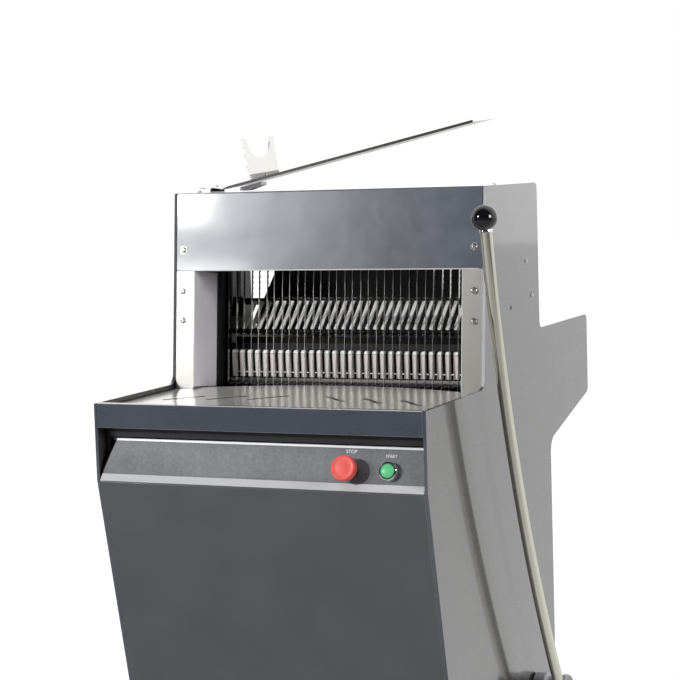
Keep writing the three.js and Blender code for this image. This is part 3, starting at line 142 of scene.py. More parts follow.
class Network:
    """A tree of shading nodes: set gives a node its values and links, and node adds one."""

    def __init__(self, owner, surface):
        owner.use_nodes = True
        self.tree = owner.node_tree
        self.surface = self.tree.nodes[surface]

    def set(self, sockets, target=None):
        for name, value in sockets.items():
            socket = (target or self.surface).inputs[name]
            if isinstance(value, Wire):
                self.tree.links.new(value.socket, socket)
            else:
                socket.default_value = value

    def node(self, kind, settings=None, sockets=None, output=0):
        made = self.tree.nodes.new(kind)
        for name, value in (settings or {}).items():
            setattr(made, name, value)
        self.set(sockets or {}, made)
        return Wire(self, made.outputs[output])

    def ray(self, kind):
        """1 for rays of one kind, such as Camera, and 0 for all others."""
        return self.node("ShaderNodeLightPath", output=f"Is {kind} Ray")

    def ease(self, value, start, end, before, after):
        """A smooth change from before to after, while the value goes from start to end."""
        return self.node("ShaderNodeMapRange", {"interpolation_type": "SMOOTHSTEP"}, {
            "Value": value, "From Min": start, "From Max": end, "To Min": before, "To Max": after,
        })


class Finish(Network):
    """One material, with its plain colour, roughness and metal as a start."""

    def __init__(self, name, colour, roughness, metallic=0.0):
        self.material = bpy.data.materials.new(name)
        super().__init__(self.material, "Principled BSDF")
        self.colour = colour
        self.set({"Base Color": (*colour, 1), "Roughness": roughness, "Metallic": metallic})
        self.place = self.node("ShaderNodeTexCoord", output="Object")

    def noise(self, scale, detail=2.0, stretch=None):
        """Cloudy noise; stretch pulls it out along an axis, as a brush or a roller does."""
        where = self.place
        if stretch:
            where = self.node("ShaderNodeMapping", {}, {"Vector": where, "Scale": stretch})
        return self.node("ShaderNodeTexNoise", {}, {"Vector": where, "Scale": scale, "Detail": detail})

    def blend(self, mask, other_colour):
        """The base colour where the mask is 0 and another where it is 1."""
        return self.node("ShaderNodeMix", {"data_type": "RGBA"}, {
            0: mask, 6: (*self.colour, 1), 7: (*other_colour, 1),
        }, output=2)

    def bump(self, height, depth, strength=1.0):
        """Tilts the surface as a relief of a real depth, in metres, would."""
        self.set({"Normal": self.node("ShaderNodeBump", {}, {
            "Strength": strength, "Distance": depth, "Height": height,
        })})


print("finishes ready")

# %% [markdown]
# The shell of the machine is steel sheet with a glossy dark enamel. Up close, sprayed enamel is never quite
# flat: it has a faint orange peel, and it collects a haze of dust and wiped streaks that dull its gloss in
# patches. A clear coat over the pigment gives the sharp reflection that the photograph shows. The sides
# have a neutral enamel, the apron and top panel a bluish one, the control strip a matt one with specks.

# %% Enamel
def enamel(
    name, colour, roughness=0.28, coat=1.0, shine=0.5, mottle=0.3,
    coat_roughness=0.08, ripple=(9.0, 1.0), relief=0.0005, speck=0.0,
):
    """Mottle and speck vary the colour; ripple is the scale and detail of the orange peel."""
    finish = Finish(name, colour, roughness)
    cloud = (finish.noise(12.0, 4.0) - 0.5) * 2.2 + 0.5
    wiped = finish.noise(6.0, 4.0, stretch=(1.0, 1.0, 7.0))
    dust = finish.noise(220.0, 2.0).above(0.66, 8.0)
    specks = finish.noise(190.0, 3.0) - 0.5
    paler = tuple(channel * 1.5 + 0.010 for channel in colour)
    finish.set({
        "Base Color": finish.blend(cloud * mottle + dust * 0.07 + specks * speck, paler),
        "Roughness": roughness - 0.06 + cloud * 0.05 + wiped * 0.08,
        "Coat Weight": coat,
        "Coat Roughness": coat_roughness,
        "Coat IOR": 1.6,
        "Specular IOR Level": shine,
    })
    finish.bump(finish.noise(420.0, 2.0) * 0.002 + finish.noise(*ripple), relief, 0.5)
    return finish


shell_enamel = enamel("shell_enamel", (0.040, 0.047, 0.065))
side_enamel = enamel("side_enamel", (0.052, 0.051, 0.048), coat_roughness=0.05)
satin_enamel = enamel(
    "satin_enamel", (0.040, 0.047, 0.068), 0.30, shine=1.0, mottle=1.0, ripple=(9.0, 3.0), relief=0.0020,
)
# Paler edge finish: partly thin paint, partly a painted highlight along the folds.
thin_paint_and_edge_highlight = enamel("thin_paint_and_edge_highlight", (0.130, 0.138, 0.155), 0.35)
# Pale finish of the right tower edge: a painted highlight.
tower_edge_highlight = enamel("tower_edge_highlight", (0.33, 0.335, 0.35), 0.40, 0.2)
cover_enamel = enamel("cover_enamel", (0.061, 0.064, 0.072), 0.40, 0.1)
control_enamel = enamel("control_enamel", (0.108, 0.112, 0.120), 0.46, coat=0.0, mottle=0.8, speck=1.6)
# Near black: the dark paint of the inner frames, partly painted shade there too, and painted shade on the
# tables' upright walls, the left tower edge, the slot under the apron, the crumb slits and the pusher's back
# plate.
dark_enamel_and_painted_shade = enamel("dark_enamel_and_painted_shade", (0.013, 0.013, 0.015), 0.45, 0.0)
# Pale lilac grey, painted light: it stands in for the light on the columns' inner faces.
flange_painted_light = enamel("flange_painted_light", (0.77, 0.745, 0.79), 0.5, 0.0)
bracket_enamel = enamel("bracket_enamel", (0.93, 0.92, 0.97), 0.5, 0.0)
motor_enamel = enamel("motor_enamel", (0.025, 0.060, 0.110), 0.4, 0.2)
print("enamels mixed")

# %% [markdown]
# Stainless sheet is ground with a belt, which leaves fine parallel lines. Noise that is stretched along one
# axis makes such lines; they vary the roughness and tilt the surface a little, and wider smears of cleaning
# lie over them. The grinding runs along a different axis on each kind of piece.

# %% Ground and polished steel
def steel(name, colour, roughness, grain, grain_depth=0.000012, smear=0.08, metallic=1.0):
    finish = Finish(name, colour, roughness, metallic)
    lines = finish.noise(1.0, 4.0, stretch=grain)
    patches = finish.noise(7.0, 3.0)
    stains = finish.noise(38.0, 5.0).above(0.66, 6.0)
    darker = tuple(channel * 0.78 for channel in colour)
    finish.set({
        "Base Color": finish.blend(lines * 0.45 + stains * 0.3, darker),
        "Roughness": roughness + (lines - 0.5) * 0.16 + (patches - 0.5) * smear + stains * 0.06,
    })
    finish.bump(lines, grain_depth)
    return finish


ALONG_X = (6.0, 900.0, 900.0)
ALONG_Y = (900.0, 6.0, 900.0)
ALONG_Z = (900.0, 900.0, 6.0)
EVEN = (500.0, 500.0, 500.0)
column_steel = steel("column_steel", (0.46, 0.455, 0.43), 0.33, ALONG_Z, metallic=0.88)
screw_steel = steel("screw_steel", (0.50, 0.50, 0.49), 0.30, EVEN)
tray_steel = steel("tray_steel", (0.93, 0.925, 0.90), 0.30, ALONG_X, metallic=0.9)
# Near black: painted shade on the tray's turned-down front lip, which is the same sheet as the tray.
tray_lip_painted_shade = steel("tray_lip_painted_shade", (0.030, 0.030, 0.028), 0.30, ALONG_X, metallic=0.1)
trough_steel = steel("trough_steel", (0.17, 0.17, 0.165), 0.48, ALONG_Y, metallic=0.6)
lever_steel = steel("lever_steel", (0.67, 0.66, 0.57), 0.12, (60.0, 60.0, 12.0), 0.000004)
table_steel = steel("table_steel", (0.96, 0.96, 0.89), 0.20, (40.0, 2.0, 2.0), 0.000001, 0.02, 0.5)
slat_steel = steel("slat_steel", (0.66, 0.60, 0.61), 0.45, ALONG_Z, metallic=0.0)
# Near white and not metallic: painted highlight on steel parts, the slat caps, the rod across the slats and
# the hold-down strips.
finger_painted_highlight = steel("finger_painted_highlight", (0.95, 0.94, 0.91), 0.35, ALONG_Z, metallic=0.0)
blade_steel = steel("blade_steel", (0.30, 0.295, 0.28), 0.34, ALONG_Z)
flank_steel = steel("flank_steel", (0.80, 0.78, 0.76), 0.14, ALONG_Z, 0.000004)
# Near black: painted shade on the pusher's slat bodies, the bar behind them and the lip behind the slats.
pusher_painted_shade = steel("pusher_painted_shade", (0.018, 0.017, 0.016), 0.38, ALONG_Z)
machined_steel = steel("machined_steel", (0.30, 0.30, 0.31), 0.42, EVEN)
shaded_steel = steel("shaded_steel", (0.030, 0.030, 0.031), 0.5, EVEN)
# Grey trim metal, also used as painted highlight: the bright lines along the two folds and the rounded edges
# of the columns and the control panel.
trim_and_fold_highlight = steel("trim_and_fold_highlight", (0.52, 0.52, 0.535), 0.48, ALONG_X, metallic=0.1)
bead_metal = steel("bead_metal", (0.80, 0.80, 0.82), 0.40, ALONG_X, metallic=0.1)
fork_steel = steel("fork_steel", (0.80, 0.79, 0.77), 0.34, ALONG_X, metallic=0.9)
band_steel = steel("band_steel", (0.42, 0.41, 0.36), 0.40, ALONG_X, metallic=0.2)
print("steels ground")

# %% [markdown]
# The rest are plastics, rubber and iron. Moulded plastic has a slight grain that breaks up its highlight,
# rubber is rough and dusty, and cast iron keeps the texture of the sand that it was poured in.

# %% Plastics, rubber and iron
def moulded(name, colour, roughness, grain, depth, coat=0.0, metallic=0.0):
    finish = Finish(name, colour, roughness, metallic)
    texture = finish.noise(grain, 3.0)
    scuffs = finish.noise(60.0, 4.0).above(0.6, 5.0)
    paler = tuple(min(1.0, channel * 1.25 + 0.01) for channel in colour)
    finish.set({
        "Base Color": finish.blend(scuffs * 0.35, paler),
        "Roughness": roughness + scuffs * 0.12 + (texture - 0.5) * 0.08,
        "Coat Weight": coat,
    })
    finish.bump(texture, depth)
    return finish


ball_plastic = moulded("ball_plastic", (0.004, 0.004, 0.005), 0.08, 300.0, 0.00001, 0.2)
collar_plastic = moulded("collar_plastic", (0.014, 0.014, 0.015), 0.4, 900.0, 0.00004)
stop_red = moulded("stop_red", (0.66, 0.080, 0.066), 0.40, 700.0, 0.00003, 0.15)
start_green = moulded("start_green", (0.095, 0.46, 0.20), 0.36, 500.0, 0.00002, 0.1)
flap_plastic = moulded("flap_plastic", (0.016, 0.017, 0.019), 0.42, 800.0, 0.00004)
belt_rubber = moulded("belt_rubber", (0.018, 0.018, 0.018), 0.75, 500.0, 0.0001)
foot_rubber = moulded("foot_rubber", (0.022, 0.022, 0.023), 0.7, 350.0, 0.0001)
sand_iron = moulded("sand_iron", (0.030, 0.031, 0.034), 0.65, 260.0, 0.0003, 0.0, 0.7)
chrome = moulded("chrome", (0.82, 0.82, 0.83), 0.08, 120.0, 0.00001, 0.0, 1.0)
legend_ink = moulded("legend_ink", (0.80, 0.80, 0.80), 0.5, 900.0, 0.00001)
print("plastics, rubber and iron ready")

# %% [markdown]
# ## Tools for making pieces
# Nearly every piece here is a row of outlines joined edge to edge: a plate is one outline at two depths, a
# turned part is circles of changing radius, a tube is circles along a path. So one tool, loft, joins
# outlines, and the others only say where the outlines are.

# %% A workpiece that collects lofted shapes
def directions(points):
    """The direction of a path at each of its points."""
    before = [points[0], *points]
    after = [*points[1:], points[-1]]
    return [(end - start).normalized() for start, end in zip(before, after)]


class Workpiece:
    """Shapes under construction, in the drawing's millimetres, and the object made from them."""

    POLYGON_RINGS = 3

    def __init__(self, finish, place=LEVEL):
        self.shape = bmesh.new()
        self.place = place
        self.finishes = [finish]
        self.current = 0

    def use(self, finish):
        """The finish of the shapes that come next."""
        if finish not in self.finishes:
            self.finishes.append(finish)
        self.current = self.finishes.index(finish)
        return self

    def loft(self, rings):
        rows = [[self.shape.verts.new(point) for point in ring] for ring in rings]
        faces = [self.shape.faces.new(rows[0]), self.shape.faces.new(rows[-1])]
        for low, high in zip(rows, rows[1:]):
            for here, there in zip(range(-1, len(low) - 1), range(len(low))):
                faces.append(self.shape.faces.new((low[here], low[there], high[there], high[here])))
        for face in faces:
            face.material_index = self.current
        return self

    def block(self, x, y, z):
        corners = [(x[0], y[0]), (x[1], y[0]), (x[1], y[1]), (x[0], y[1])]
        return self.loft([[Vector((*corner, level)) for corner in corners] for level in z])

    def plate_x(self, outline, x):
        return self.loft([[Vector((level, *point)) for point in outline] for level in x])

    def plate_y(self, outline, y):
        return self.loft([[Vector((point[0], level, point[1])) for point in outline] for level in y])

    def plate_z(self, outline, z):
        return self.loft([[Vector((*point, level)) for point in outline] for level in z])

    def turned(self, profile, centre=(0, 0, 0), out=(0, 0, 1), sides=48, corners=0):
        """Circles of (radius, height) about an axis; the last ones can be polygons instead."""
        out = Vector(out).normalized()
        first = out.orthogonal().normalized()
        second = out.cross(first)
        rings = []
        for index, (radius, height) in enumerate(profile):
            ring = []
            for step in range(sides):
                angle = 2 * math.pi * step / sides
                reach = radius
                if corners and index >= len(profile) - self.POLYGON_RINGS:
                    wedge = 2 * math.pi / corners
                    reach = radius * math.cos(wedge / 2) / math.cos(angle % wedge - wedge / 2)
                spoke = first * math.cos(angle) + second * math.sin(angle)
                ring.append(Vector(centre) + out * height + reach * spoke)
            rings.append(ring)
        return self.loft(rings)

    def tube(self, path, radius, sides=20):
        """A round bar along a path; the circles turn with the path without twisting."""
        path = [Vector(point) for point in path]
        tangents = directions(path)
        side = tangents[0].orthogonal().normalized()
        rings = []
        for point, tangent in zip(path, tangents):
            side = (side - tangent * side.dot(tangent)).normalized()
            across = tangent.cross(side)
            rings.append([
                point + radius * (side * math.cos(angle) + across * math.sin(angle))
                for angle in (2 * math.pi * step / sides for step in range(sides))
            ])
        return self.loft(rings)

    def done(self, name, body, slot, rounding=0.0, replaces=(), edge=None):
        """The finished object: welded, shaded, rounded, and riding on its body."""
        bmesh.ops.remove_doubles(self.shape, verts=self.shape.verts, dist=0.002)
        bmesh.ops.dissolve_degenerate(self.shape, dist=0.001, edges=self.shape.edges)
        bmesh.ops.recalc_face_normals(self.shape, faces=self.shape.faces)
        self.shape.transform(self.place)
        return make_object(self.shape, name, self.finishes, body, rounding, replaces, edge)


print("workpieces ready")

# %% [markdown]
# A real edge is never perfectly sharp: even a cut sheet has a small rounding that catches a line of light.
# A Bevel modifier makes that rounding on every edge that turns more than a set angle. Flatter edges, such
# as the steps round a cylinder, are shaded smooth instead.

# %% Shading and rounding
SHARP = math.radians(32)


def make_object(shape, name, finishes, body, rounding, replaces, edge):
    for face in shape.faces:
        face.smooth = True
    for line in shape.edges:
        line.smooth = len(line.link_faces) == 2 and line.calc_face_angle(0.0) < SHARP
    mesh = bpy.data.meshes.new(name)
    shape.to_mesh(mesh)
    shape.free()
    piece = add_object(name, mesh)
    for finish in finishes:
        mesh.materials.append(finish.material)
    if rounding:
        bevel = piece.modifiers.new("rounded edges", "BEVEL")
        bevel.width = rounding * MM
        bevel.segments = 2
        bevel.limit_method = "ANGLE"
        bevel.angle_limit = SHARP
        bevel.harden_normals = True
        if edge:
            mesh.materials.append(edge.material)
            bevel.material = len(finishes)
    if replaces:
        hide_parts(*replaces)
    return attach(piece, body)


print("edges turn sharp at", round(math.degrees(SHARP)), "degrees")

# %% [markdown]
# ## Sheet metal
# The covers and frames already have the right shape as solids, and only lack what makes sheet metal look
# real: soft folds, paler rounded edges, and no stray triangles. The paler edges are partly thin paint and
# partly a painted highlight; the left side panel has none. So each is copied from its solid, its flat areas
# are merged, and its edges are rounded by about half the sheet's thickness. The upright walls of the tables,
# the narrow edges of the side panels and the front edges of the tower's sides take another finish than the
# faces, which small rules pick out: the dark one on the tables' walls and on the left tower edge is painted
# shade, and the pale one on the right tower edge is a painted highlight.

# %% Dress the solids whose shape is right
def dressed(node, finish, rounding, edge=None):
    shape = bmesh.new()
    shape.from_mesh(frame["nodes"][node].data)
    bmesh.ops.remove_doubles(shape, verts=shape.verts, dist=0.01 * MM)
    bmesh.ops.dissolve_limit(shape, angle_limit=math.radians(1.5), verts=shape.verts, edges=shape.edges)
    finishes = [finish]
    for other, where in OTHER_FINISHES.get(node, ()):
        finishes.append(other)
        for face in shape.faces:
            if where(face):
                face.material_index = len(finishes) - 1
    return make_object(shape, node + "_dressed", finishes, body_of_node[node], rounding, [node], edge)


def upright(face):
    return abs(face.normal.z) < 0.5


def narrow_edge(face):
    return abs(face.normal.x) < 0.5


def tower_front_edge(face):
    return face.normal.y < -0.6 and face.calc_center_median().z > CORNER.z + 5 * MM


# Another finish on some faces: the dark one on the tables' upright walls and on the left tower edge is
# painted shade; the pale one on the right tower edge is a painted highlight.
OTHER_FINISHES = {
    "outfeed_table": [(dark_enamel_and_painted_shade, upright)],
    "infeed_table": [(dark_enamel_and_painted_shade, upright)],
    "side_panel_left": [(shell_enamel, narrow_edge), (dark_enamel_and_painted_shade, tower_front_edge)],
    "side_panel_right": [(shell_enamel, narrow_edge), (tower_edge_highlight, tower_front_edge)],
}

sheet_metal = (
    (side_enamel, "painted_panel", 0.7, None, "side_panel_left"),
    (side_enamel, "painted_panel", 0.7, thin_paint_and_edge_highlight, "side_panel_right"),
    (shell_enamel, "painted_panel", 0.7, thin_paint_and_edge_highlight, "apron"),
    (cover_enamel, "painted_panel", 0.7, thin_paint_and_edge_highlight, "front_cover"),
    (control_enamel, "painted_control", 0.6, trim_and_fold_highlight, "control_panel"),
    (satin_enamel, "painted_panel", 0.6, thin_paint_and_edge_highlight, "top_front_panel"),
    (shell_enamel, "painted_panel", 0.6, thin_paint_and_edge_highlight, "tower_top_cover"),
    (shell_enamel, "painted_panel", 0.5, thin_paint_and_edge_highlight, "tower_rear_cover"),
    (shell_enamel, "painted_panel", 0.6, thin_paint_and_edge_highlight, "rear_cover"),
    (cover_enamel, "painted_panel", 0.6, thin_paint_and_edge_highlight, "crumb_drawer"),
    (column_steel, "stainless", 1.0, trim_and_fold_highlight, "column_left", "column_right"),
    (table_steel, "polished_steel", 0.0, None, "outfeed_table"),
    (trough_steel, "stainless", 0.4, None, "infeed_table"),
    (dark_enamel_and_painted_shade, "painted_frame", 0.8, None, "frame_plate_left", "frame_plate_right"),
    (dark_enamel_and_painted_shade, "painted_frame", 0.5, None, "base_pan"),
    (dark_enamel_and_painted_shade, "painted_frame", 1.0, None, "drive_plate"),
    (shell_enamel, "painted_frame", 0.6, thin_paint_and_edge_highlight, "carriage_left", "carriage_right"),
    (dark_enamel_and_painted_shade, "painted_frame", 0.8, None, "pusher_back_plate"),
    (shaded_steel, "machined_steel", 0.6, None, "front_cross_bar", "rear_cross_bar"),
    (sand_iron, "cast_iron", 1.0, None, "upper_guide_left", "upper_guide_right"),
    (sand_iron, "cast_iron", 1.0, None, "lower_guide_left", "lower_guide_right"),
    (sand_iron, "cast_iron", 1.2, None, "bearing_block"),
    (sand_iron, "cast_iron", 0.6, None, "crank_pulley"),
    (machined_steel, "machined_steel", 0.8, None, "crankshaft"),
    (machined_steel, "machined_steel", 1.0, None, "connecting_rod_a", "connecting_rod_b"),
    (machined_steel, "machined_steel", 0.6, None, "motor_pulley"),
    (belt_rubber, "black_rubber", 0.8, None, "drive_belt"),
    (machined_steel, "machined_steel", 0.8, None, "swing_arm_left", "swing_arm_right"),
    (machined_steel, "machined_steel", 1.0, None, "lever_shaft"),
    (chrome, "polished_steel", 0.8, None, "pusher_rail_left", "pusher_rail_right"),
    (machined_steel, "polished_steel", 0.8, None, "hold_down_rod_left", "hold_down_rod_right"),
)
for finish, slot, rounding, edge, *nodes in sheet_metal:
    for node in nodes:
        dressed(node, finish, rounding, edge)
print(sum(len(row) - 4 for row in sheet_metal), "solids dressed")

# %% [markdown]
# A thin pale plate lies over the inner flange of each column, paler and a little more lilac than the column's
# steel. Its pale colour is painted light: it stands in for the light that falls on that inner face.

# %% Painted light on the flanges beside the blades
for side, name in ((-1, "left"), (1, "right")):
    flange = Workpiece(flange_painted_light, LEANING)
    face, back = side * 246.3, side * 246.9
    flange.plate_z([(back, 0.8), (face, 0.8), (face, 91), (back, 91)], (-4, 196))
    flange.done("lit_flange_" + name, "machine_frame", "stainless")
print("flanges painted")

# %% [markdown]
# Two bright strips are painted highlights along folded edges: one under the top panel and one along the
# apron's upper edge. A thin dark joint runs up the top panel's right end, and the back of the slot under the
# apron is covered with a dark sheet, which is painted shade.

# %% Painted highlights on two folds, a dark joint and painted shade in the slot
top_fold_highlight = Workpiece(trim_and_fold_highlight, LEANING)
top_fold_highlight.block((-275, 275), (-0.6, 0.8), (196.2, 198.0))
top_fold_highlight.use(dark_enamel_and_painted_shade).block((280.6, 281.9), (-0.5, 0.8), (197.5, TOWER_HEIGHT))
top_fold_highlight.done("top_panel_fold_highlight", "machine_frame", "painted_panel", 0.3)
apron_fold_highlight = Workpiece(trim_and_fold_highlight)
apron_fold_highlight.block((-281, 281), (-0.3, 1.4), (-1.0, 0.3))
apron_fold_highlight.done("apron_fold_highlight", "machine_frame", "painted_panel", 0.3)
slot_shade_sheet = Workpiece(dark_enamel_and_painted_shade)
slot_shade_sheet.block((-281, 281), (26.1, 26.8), (-57.5, -40.4))
slot_shade_sheet.done("apron_slot_shade", "machine_frame", "painted_frame")
print("two hems, a joint and a liner")

# %% [markdown]
# Six slits in the outfeed table let crumbs fall through. A thin dark band on both sides of each is painted
# shade: it stands in for the shade inside the slit, which is what shows from the front.

# %% Painted shade at the crumb slits
SLIT_HALF = 37
SLIT_TURN = math.radians(41)
TABLE_TOP = -9
SHADE_NEAR = 1.25
SHADE_FAR = 3.4
slit_shade = Workpiece(dark_enamel_and_painted_shade)
for x, y in ((60, 180), (131, 167), (204, 152)):
    for side in (-1, 1):
        along = Vector((-side * math.sin(SLIT_TURN), math.cos(SLIT_TURN)))
        across = Vector((along.y, -along.x))
        middle = Vector((side * x, y))
        for edge in (-1, 1):
            near = middle + across * edge * SHADE_NEAR
            far = middle + across * edge * SHADE_FAR
            reach = along * SLIT_HALF
            corners = [near - reach, far - reach, far + reach, near + reach]
            slit_shade.plate_z([tuple(corner) for corner in corners], (TABLE_TOP - 0.3, TABLE_TOP + 0.35))
slit_shade.done("crumb_slit_shade", "machine_frame", "polished_steel")
print("six slits rimmed")

# %% [markdown]
# ## Blades
# Each blade is a thin strip with a wavy edge on the side that the bread comes from. The waves could be a
# bump in the material, but they show against the light, so they are cut in the outline. The front of a
# blade is dull and its toothed flank is ground bright, so each is made of two strips. Two frames hold every
# second blade each, and they saw up and down against each other.

# %% Cut the blades and stretch them in their frames
PITCH = 15.0
BLADES = 32
BLADE_TOP = 276
BLADE_FOOT = -140
BLADE_HALF = 0.3
TOOTH = 10.0
TOOTH_DEPTH = 2.2
PLAIN_END = 30
TEETH = int((BLADE_TOP - BLADE_FOOT - 2 * PLAIN_END) / TOOTH)
BAR_HALF = 256
BAR_HEIGHT = 30
POST_X = 240
POST_HALF = 3.5


def blade_outline(front, rear):
    """A strip from front to rear whose rear edge is cut in hollow waves."""
    outline = [(front, BLADE_FOOT), (rear - 1, BLADE_FOOT)]
    start = BLADE_FOOT + PLAIN_END
    for tooth in range(TEETH):
        for share, depth in ((0.0, 0.0), (0.25, 0.75), (0.5, 1.0), (0.75, 0.75)):
            outline.append((rear - TOOTH_DEPTH * depth, start + (tooth + share) * TOOTH))
    return [*outline, (rear, start + TEETH * TOOTH), (rear - 1, BLADE_TOP), (front, BLADE_TOP)]


def blade_frame(node, first, front, bars):
    frame_piece = Workpiece(shaded_steel, LEANING)
    for low in (BLADE_TOP - BAR_HEIGHT, BLADE_FOOT):
        high = low + BAR_HEIGHT
        frame_piece.block((-BAR_HALF, BAR_HALF), bars, (low, high))
        for end in (-1, 1):
            frame_piece.block(sorted((end * (BAR_HALF - 4), end * BAR_HALF)), bars, (low - 6, high + 6))
    between_bars = (BLADE_FOOT + BAR_HEIGHT, BLADE_TOP - BAR_HEIGHT)
    for end in (-1, 1):
        frame_piece.block((end * POST_X - POST_HALF, end * POST_X + POST_HALF), bars, between_bars)
    near, far = front + 5, front + 6.2
    dull_strip = [(near, BLADE_FOOT), (far, BLADE_FOOT), (far, BLADE_TOP), (near, BLADE_TOP)]
    bright_strip = blade_outline(far, front + 12)
    for index in range(first, BLADES, 2):
        x = (index - (BLADES - 1) / 2) * PITCH
        faces = (x - BLADE_HALF, x + BLADE_HALF)
        frame_piece.use(flank_steel).plate_x(bright_strip, faces)
        frame_piece.use(blade_steel).plate_x(dull_strip, faces)
        frame_piece.use(shaded_steel)
        middle = sum(bars) / 2
        for level in (BLADE_TOP, BLADE_FOOT):
            out = (0, 0, 1 if level == BLADE_TOP else -1)
            frame_piece.turned([(2.6, -1), (2.6, 2), (2.0, 3), (0, 3)], (x, middle, level), out, 10)
    return frame_piece.done(node + "_toothed", body_of_node[node], "blade_steel", 0.0, [node])


blade_frame("blade_frame_a", 0, 98.0, (84.5, 98.5))
blade_frame("blade_frame_b", 1, 100.2, (111.7, 125.7))
print(BLADES, "blades with", TEETH, "teeth each")

# %% [markdown]
# ## Pusher and hold-down
# The pusher is a comb of upright slats that passes between the blades. Each slat has a pale face and a cap
# with a slanted front, which shows as a row of bright tips in the photograph; the caps' whiter colour is a
# painted highlight. A thin rod runs across the faces. The slats' bodies, the bar behind them and a lip behind
# the slats are near black, painted shade that closes the view under the flap.

# %% The pusher's slats
FINGERS = 31
finger_places = [(index - (FINGERS - 1) / 2) * PITCH for index in range(FINGERS)]
slats = Workpiece(slat_steel)
face_outline = [(386, 1), (386, 42.2), (392, 42.2), (392, 1)]
cap_outline = [(385.8, 43), (385.8, 43.6), (389.2, 48), (394, 48), (394, 43)]
for x in finger_places:
    slats.use(slat_steel).plate_x(face_outline, (x - 4.6, x + 4.6))
    slats.use(finger_painted_highlight).plate_x(cap_outline, (x - 4.7, x + 4.7))
    slats.use(pusher_painted_shade).plate_x([(391.5, 1), (391.5, 47.5), (410, 47.5), (410, 1)], (x - 3.8, x + 3.8))
slats.use(pusher_painted_shade).block((-229, 229), (410, 415.8), (1.4, 47))
slats.block((-236, 236), (416.6, 422.0), (57.6, 69.2))
slats.use(finger_painted_highlight).tube([(-229, 389.5, 9), (229, 389.5, 9)], 0.9, 10)
slats.done("pusher_slats", "pusher", "polished_steel", 0.25, ["pusher_comb"])
print(FINGERS, "slats")

# %% [markdown]
# The hold-down lies on the loaf with slanted fingers. Each is a flat strip, hooked over a cross rod at its
# low end and set in a bar at its high end. A strip with a hook is drawn as a line in side view, given a
# thickness, and made as wide as the finger. The strips are given a near white colour, a painted highlight,
# and the hooks a near black one, a painted shade.

# %% The hold-down's hooked fingers
def strip(line, thickness):
    """The outline of a strip that follows a line, in side view."""
    points = [Vector(point) for point in line]
    sides = [Vector((-run.y, run.x)) * thickness / 2 for run in directions(points)]
    return [point + side for point, side in zip(points, sides)] + [
        point - side for point, side in reversed(list(zip(points, sides)))
    ]


rod_centre = Vector((141, 94))
hook = [rod_centre + 5.4 * Vector((math.cos(angle), math.sin(angle))) for angle in (
    math.radians(turn) for turn in range(-250, -40, 26)
)]
finger_line = [(143.5, 88.6), (203, 154)]
fingers = Workpiece(finger_painted_highlight, LEANING)
for x in finger_places:
    fingers.use(finger_painted_highlight).plate_x(strip(finger_line, 3.6), (x - 3.3, x + 3.3))
    fingers.use(shaded_steel).plate_x(strip([*hook, (147, 92)], 2.0), (x - 2.5, x + 2.5))
sleeve = [(8.5, -8.5), (8.5, 8.5), (5.5, 8.5), (5.5, -8.5), (8.5, -8.5)]
fingers.use(shaded_steel)
fingers.tube([(-250, *rod_centre), (250, *rod_centre)], 4.0, 16)
for end in (-1, 1):
    fingers.block(sorted((end * 250, end * 256.4)), (195.5, 209.5), (141.6, 155.6))
    fingers.block(sorted((end * 267.6, end * 271)), (195.5, 209.5), (141.6, 155.6))
    fingers.turned(sleeve, (end * 262, 202.5, 148.6), sides=32)
fingers.block((-250, 250), (196.5, 208.5), (142.6, 154.6))
fingers.done("hold_down_fingers", "hold_down", "polished_steel", 0.4, ["hold_down_comb"])
print(len(hook), "points in each hook")

# %% [markdown]
# ## Lever
# The feed lever is a polished tube, bent in one long arc, with a black ball on top. An arc through its two
# ends with a known bow is all that is needed; the tube is lofted along points on it.

# %% Bend the lever
PIVOT = Vector((495, -560))
BALL = Vector((149.3, 282.7))
LEVER_X = 335.5
BOW = 45


def lever_point(share):
    """A point of the arc, from the pivot at 0 to the ball at 1."""
    chord = BALL - PIVOT
    radius = chord.length**2 / (8 * BOW) + BOW / 2
    half_angle = math.asin(chord.length / (2 * radius))
    along = chord.normalized()
    across = Vector((-along.y, along.x))
    centre = (PIVOT + BALL) / 2 + across * (BOW - radius)
    angle = half_angle * (2 * share - 1)
    point = centre + radius * (along * math.sin(angle) + across * math.cos(angle))
    return Vector((LEVER_X, point.x, point.y))


lever = Workpiece(lever_steel)
lever.tube([lever_point(share / 60) for share in range(2, 60)], 9.5, 32)
lever.use(machined_steel)
lever.turned([
    (0, 0), (30, 0), (32, 2), (32, 20), (28, 26), (28, 44),
    (32, 50), (32, 57), (30, 60), (16, 60), (15, 62), (0, 62),
], (289.5, *PIVOT), (1, 0, 0), 64)
lever.done("feed_lever", "lever", "stainless", 0.0, ["lever"])
print("the lever's tube ends at", [round(value, 1) for value in lever_point(59 / 60)])

# %% [markdown]
# The ball screws onto the tube through a small chromed collar. A ball is turned from a half circle.

# %% Ball and collar
neck = (lever_point(0.99) - lever_point(0.95)).normalized()
ball_centre = Vector((LEVER_X, *BALL))
ball = Workpiece(ball_plastic)
BALL_RADIUS = 20.25
arc = []
for turn in range(30, 180, 6):
    angle = math.radians(turn)
    arc.append((BALL_RADIUS * math.sin(angle), -BALL_RADIUS * math.cos(angle)))
ball.turned([(0, arc[0][1]), *arc, (0, BALL_RADIUS)], ball_centre, neck, 56)
ball_collar = [(0, -22.4), (10.2, -22.4), (10.8, -21.8), (10.8, -18.6), (10, -17), (0, -17)]
ball.use(chrome).turned(ball_collar, ball_centre, neck, 40)
ball.done("lever_ball", "lever", "black_plastic", 0.0, ["lever_knob"])
print("ball at", [round(value, 1) for value in ball_centre])

